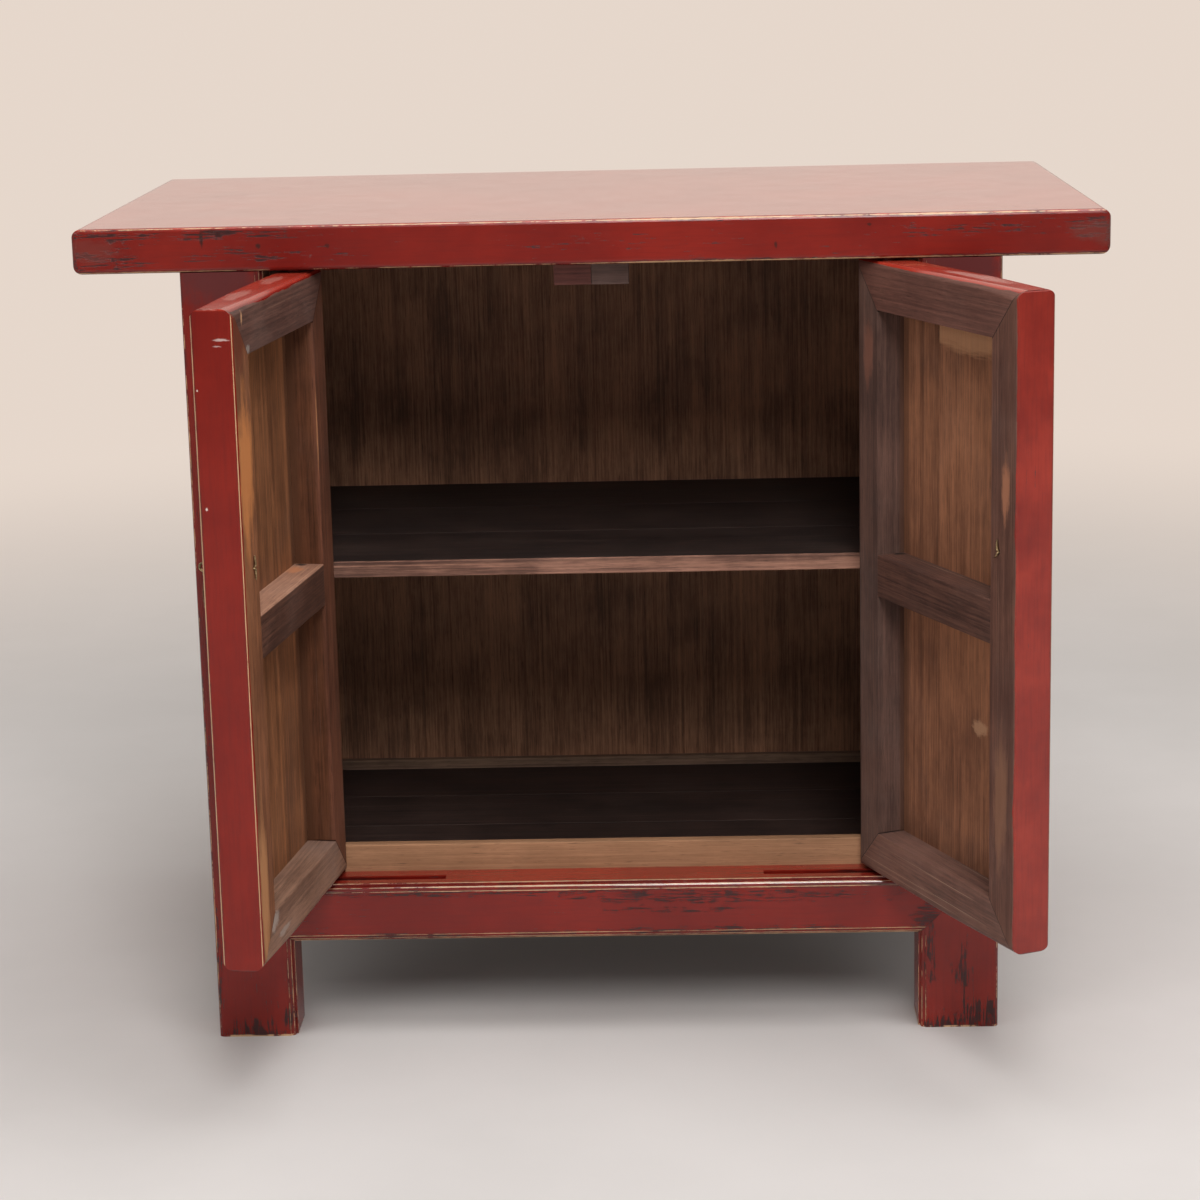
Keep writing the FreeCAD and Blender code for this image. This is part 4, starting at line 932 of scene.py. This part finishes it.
# Each door's free end is worn rounder than the rest, above and below, and this fades out along
# the rails.
worn_radius = 0.0105
worn_length = 0.30
worn_flare = 0.0044
for side in ("left", "right"):
    closing, shift, low, high = door_places[side]
    free_end, inwards = (high.x + trim_spare, -1) if side == "left" else (low.x - trim_spare, 1)
    far_end = free_end + inwards * worn_length
    centre = Vector(((free_end + far_end) / 2, (low.y + high.y) / 2, (low.z + high.z) / 2))
    size = Vector((worn_length, high.y - low.y + 2 * trim_spare, high.z - low.z + 2 * trim_spare))
    end_block = long_block(centre, size, 0, worn_radius)
    for corner in end_block.data.vertices:
        corner.select = abs(corner.co.x - far_end) < worn_length / 2
    bpy.ops.object.mode_set(mode="EDIT")
    bpy.ops.transform.resize(
        value=(1, 1 + 2 * worn_flare / size.y, 1 + 2 * worn_flare / size.z),
        center_override=(far_end, centre.y, centre.z))
    bpy.ops.object.mode_set(mode="OBJECT")
    end_block.data.transform(Matrix.Rotation(-closing, 4, "Z") @ Matrix.Translation(-shift))
    for piece in ("free_stile", "top_rail", "bottom_rail"):
        eased(f"{side}_door_{piece}", end_block, side + "_door")
    bpy.data.objects.remove(end_block)

# Each pull is a leaf-shaped brass drop that hangs in the eye of a split pin, on a round plate. The
# plate is turned and has a groove near its rim. The pin is one wire folded in two, driven through
# the stile and spread on its inner face, and the leaf is cast with a ridge down its middle.
pull_side = 0.2455
pull_height = 0.518
plate_corners = 72
plate_profile = [(0.0150, -0.0170), (0.0150, -0.0178), (0.0148, -0.0182), (0.0141, -0.0184),
                 (0.0135, -0.0182), (0.0130, -0.01785), (0.0124, -0.0182), (0.0116, -0.0184),
                 (0.0070, -0.0186), (0.0042, -0.0186), (0.0032, -0.0184), (0.0029, -0.0180),
                 (0.0029, -0.0170)]
eye_middle = -0.0241
eye_radius = 0.0042
wire_radius = 0.0013
wire_corners = 14
leg_lift = 0.0011
leg_sunk = 0.0004
leg_end = 0.0223
bend_radius = 0.0016
bend_steps = 4
boss_middle = 0.5133
boss_ring, boss_wire = 0.0034, 0.0010
leaf_fullness = 1.1
leaf_stations = [(0.5104, 0.0026, 0.0014), (0.5085, 0.0040, 0.0019), (0.5062, 0.0068, 0.0021),
                 (0.5030, 0.0108, 0.0022), (0.4985, 0.0138, 0.0022), (0.4935, 0.0150, 0.0022),
                 (0.4888, 0.0142, 0.0022), (0.4845, 0.0112, 0.0021), (0.4808, 0.0072, 0.0019),
                 (0.4785, 0.0036, 0.0015), (0.4774, 0.0010, 0.0008)]
# how each pin's spread ends run on from its legs: along the stile, aside and how thick there
pin_ends = {
    "left": ([(0.0030, 0.0001, 1.0), (0.0065, 0.0004, 0.8), (0.0098, 0.0012, 0.4)],
             [(-0.0030, 0.0, 1.0), (-0.0065, -0.0006, 0.8), (-0.0099, -0.0003, 0.4)]),
    "right": ([(0.0030, 0.0, 1.0), (0.0060, 0.0003, 0.8), (0.0094, 0.0, 0.4)],
              [(-0.0024, 0.0006, 1.0), (-0.0042, 0.0030, 0.8), (-0.0056, 0.0056, 0.4)]),
}


def closed_outwards():
    """Turns a closed mesh's faces outwards and leaves edit mode."""
    bpy.ops.mesh.select_all(action="SELECT")
    bpy.ops.mesh.normals_make_consistent(inside=False)
    bpy.ops.object.mode_set(mode="OBJECT")
    return bpy.context.object


def drawn_out(stops, corners, lean=0.0):
    """A closed bar drawn out from a ring; each stop is a centre, three half sizes and a turn."""
    place, size, turned = stops[0]
    bpy.ops.mesh.primitive_circle_add(vertices=corners, radius=1.0, fill_type="NGON",
                                      rotation=(lean, 0, 0))
    bpy.ops.object.transform_apply(location=True, rotation=True, scale=True)
    bpy.ops.object.mode_set(mode="EDIT")
    bpy.ops.mesh.select_all(action="SELECT")
    bpy.ops.transform.resize(value=size, center_override=(0, 0, 0))
    bpy.ops.transform.translate(value=place)
    for next_place, next_size, next_turned in stops[1:]:
        step = Vector(next_place) - Vector(place)
        bpy.ops.mesh.extrude_region_move(TRANSFORM_OT_translate={"value": step})
        bpy.ops.transform.rotate(value=turned - next_turned, orient_axis="X",
                                 center_override=next_place)
        scale = [new / old for new, old in zip(next_size, size)]
        bpy.ops.transform.resize(value=scale, center_override=next_place)
        place, size, turned = next_place, next_size, next_turned
    return closed_outwards()


def turned_plate(across):
    """A ring drawn through the plate's profile in edit mode and closed at the back."""
    radius, depth = plate_profile[0]
    bpy.ops.mesh.primitive_circle_add(vertices=plate_corners, radius=radius,
                                      rotation=(math.pi / 2, 0, 0))
    bpy.ops.object.transform_apply(location=True, rotation=True, scale=True)
    bpy.ops.object.mode_set(mode="EDIT")
    bpy.ops.mesh.select_all(action="SELECT")
    bpy.ops.transform.translate(value=(across, depth, pull_height))
    for next_radius, next_depth in plate_profile[1:]:
        step = (0, next_depth - depth, 0)
        bpy.ops.mesh.extrude_edges_move(TRANSFORM_OT_translate={"value": step})
        scale = next_radius / radius
        bpy.ops.transform.resize(value=(scale, 1, scale),
                                 center_override=(across, next_depth, pull_height))
        radius, depth = next_radius, next_depth
    bpy.ops.mesh.select_all(action="DESELECT")
    bpy.ops.mesh.select_non_manifold()
    bpy.ops.mesh.bridge_edge_loops()
    return closed_outwards()


def bent_leg(across, sign, end):
    """One leg of a split pin: through the stile, bent up or down, and drawn thin to its tip."""
    height = pull_height + sign * leg_lift
    stops = [((across, eye_middle + eye_radius - leg_sunk, height), 1.0, 0.0)]
    for step in range(bend_steps + 1):
        turned = math.pi / 2 * step / bend_steps
        stops.append(((across, leg_end - bend_radius * (1 - math.sin(turned)),
                       height + sign * bend_radius * (1 - math.cos(turned))), 1.0, turned))
    stops += [((across + aside, leg_end, height + along), thick, math.pi / 2)
              for along, aside, thick in end]
    return drawn_out([(place, (wire_radius * thick,) * 3, sign * turned)
                      for place, thick, turned in stops], wire_corners, math.pi / 2)


def pear_ring(centre, ring, wire, turn, narrow):
    """A ring of wire, drawn in a little on the side away from its free end."""
    bpy.ops.mesh.primitive_torus_add(major_radius=ring, minor_radius=wire, major_segments=40,
                                     minor_segments=wire_corners, location=centre, rotation=turn)
    bpy.ops.object.transform_apply(location=True, rotation=True, scale=True)
    made = bpy.context.object
    for corner in made.data.vertices:
        away = corner.co - Vector(centre)
        corner.select = max(away.dot(narrow), 0.0) > 0.35 * ring
    bpy.ops.object.mode_set(mode="EDIT")
    bpy.ops.mesh.select_mode(type="VERT")
    bpy.ops.transform.resize(value=tuple(1.0 if part else 0.86 for part in narrow),
                             center_override=centre)
    return closed_outwards()


def joined_pieces(parts):
    """Several meshes made one object."""
    pick(*parts)
    bpy.ops.object.join()
    return bpy.context.object


def split_pin(side, across):
    """The eye, and two legs through the stile with their ends spread, as one piece."""
    eye = pear_ring((across, eye_middle, pull_height), eye_radius, wire_radius,
                    (0, math.pi / 2, 0), Vector((0, 1, 0)))
    legs = [bent_leg(across, sign, end) for sign, end in zip((1, -1), pin_ends[side])]
    return joined_pieces([eye, *legs])


def cast_leaf(across):
    """The leaf, drawn out from its neck to its tip and softened, and the ring at its top."""
    stops = [((across, eye_middle, height), (leaf_fullness * wide / 2, thick / 2, 1), 0.0)
             for height, wide, thick in leaf_stations]
    leaf = drawn_out(stops, 8)
    leaf.modifiers.new("soft", "SUBSURF").levels = 2
    bpy.ops.object.modifier_apply(modifier="soft")
    ring = pear_ring((across, eye_middle, boss_middle), boss_ring, boss_wire,
                     (math.pi / 2, 0, 0), Vector((0, 0, -1)))
    return joined_pieces([leaf, ring])


def old_brass(name, light, dark, rough):
    """Brass gone dull brown in patches, brighter where hands rub it, and finely pitted."""
    material, tree, shader, place = new_material(name)
    tarnish = ramp_up(tree, noise(tree, place, 210.0, 6.0, 0.68), 0.36, 0.66)
    fine = noise(tree, place, 900.0, 4.0, 0.65)
    pits = times(tree, ramp_up(tree, fine, 0.55, 0.75), 0.6)
    colour = mixed(tree, pits, mixed(tree, tarnish, light, dark), (0.07, 0.045, 0.03))
    tree.links.new(colour, shader.inputs["Base Color"])
    gloss = maths(tree, "MULTIPLY_ADD", tarnish, 0.26, rough)
    tree.links.new(gloss, shader.inputs["Roughness"])
    shader.inputs["Metallic"].default_value = 1.0
    dents = plus(tree, noise(tree, place, 320.0, 3.0, 0.55), times(tree, fine, 0.35))
    add_bump(tree, shader, dents, 0.00022, 0.6)
    return material


for side in ("left", "right"):
    closing, shift, low, high = door_places[side]
    opened = Matrix.Rotation(-closing, 4, "Z") @ Matrix.Translation(-shift)
    across = pull_side if side == "left" else -pull_side
    door, pull = side + "_door", side + "_pull"
    for label, body, made, rough in (
            ("plate", door, turned_plate(across), 0.30),
            ("pin", door, split_pin(side, across), 0.26),
            ("leaf", pull, cast_leaf(across), 0.28)):
        made.name = f"{side}_brass_{label}"
        made.data.transform(opened @ made.matrix_world)
        made.matrix_world = Matrix.Identity(4)
        made.data.materials.append(
            old_brass(f"brass_{side}_{label}", (0.56, 0.41, 0.22), (0.17, 0.115, 0.065), rough))
        pick(made)
        bpy.ops.object.shade_smooth_by_angle(angle=math.radians(40))
        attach(made, body)
        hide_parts(f"{side}_pull_{label}")
        bpy.ops.object.select_all(action="DESELECT")
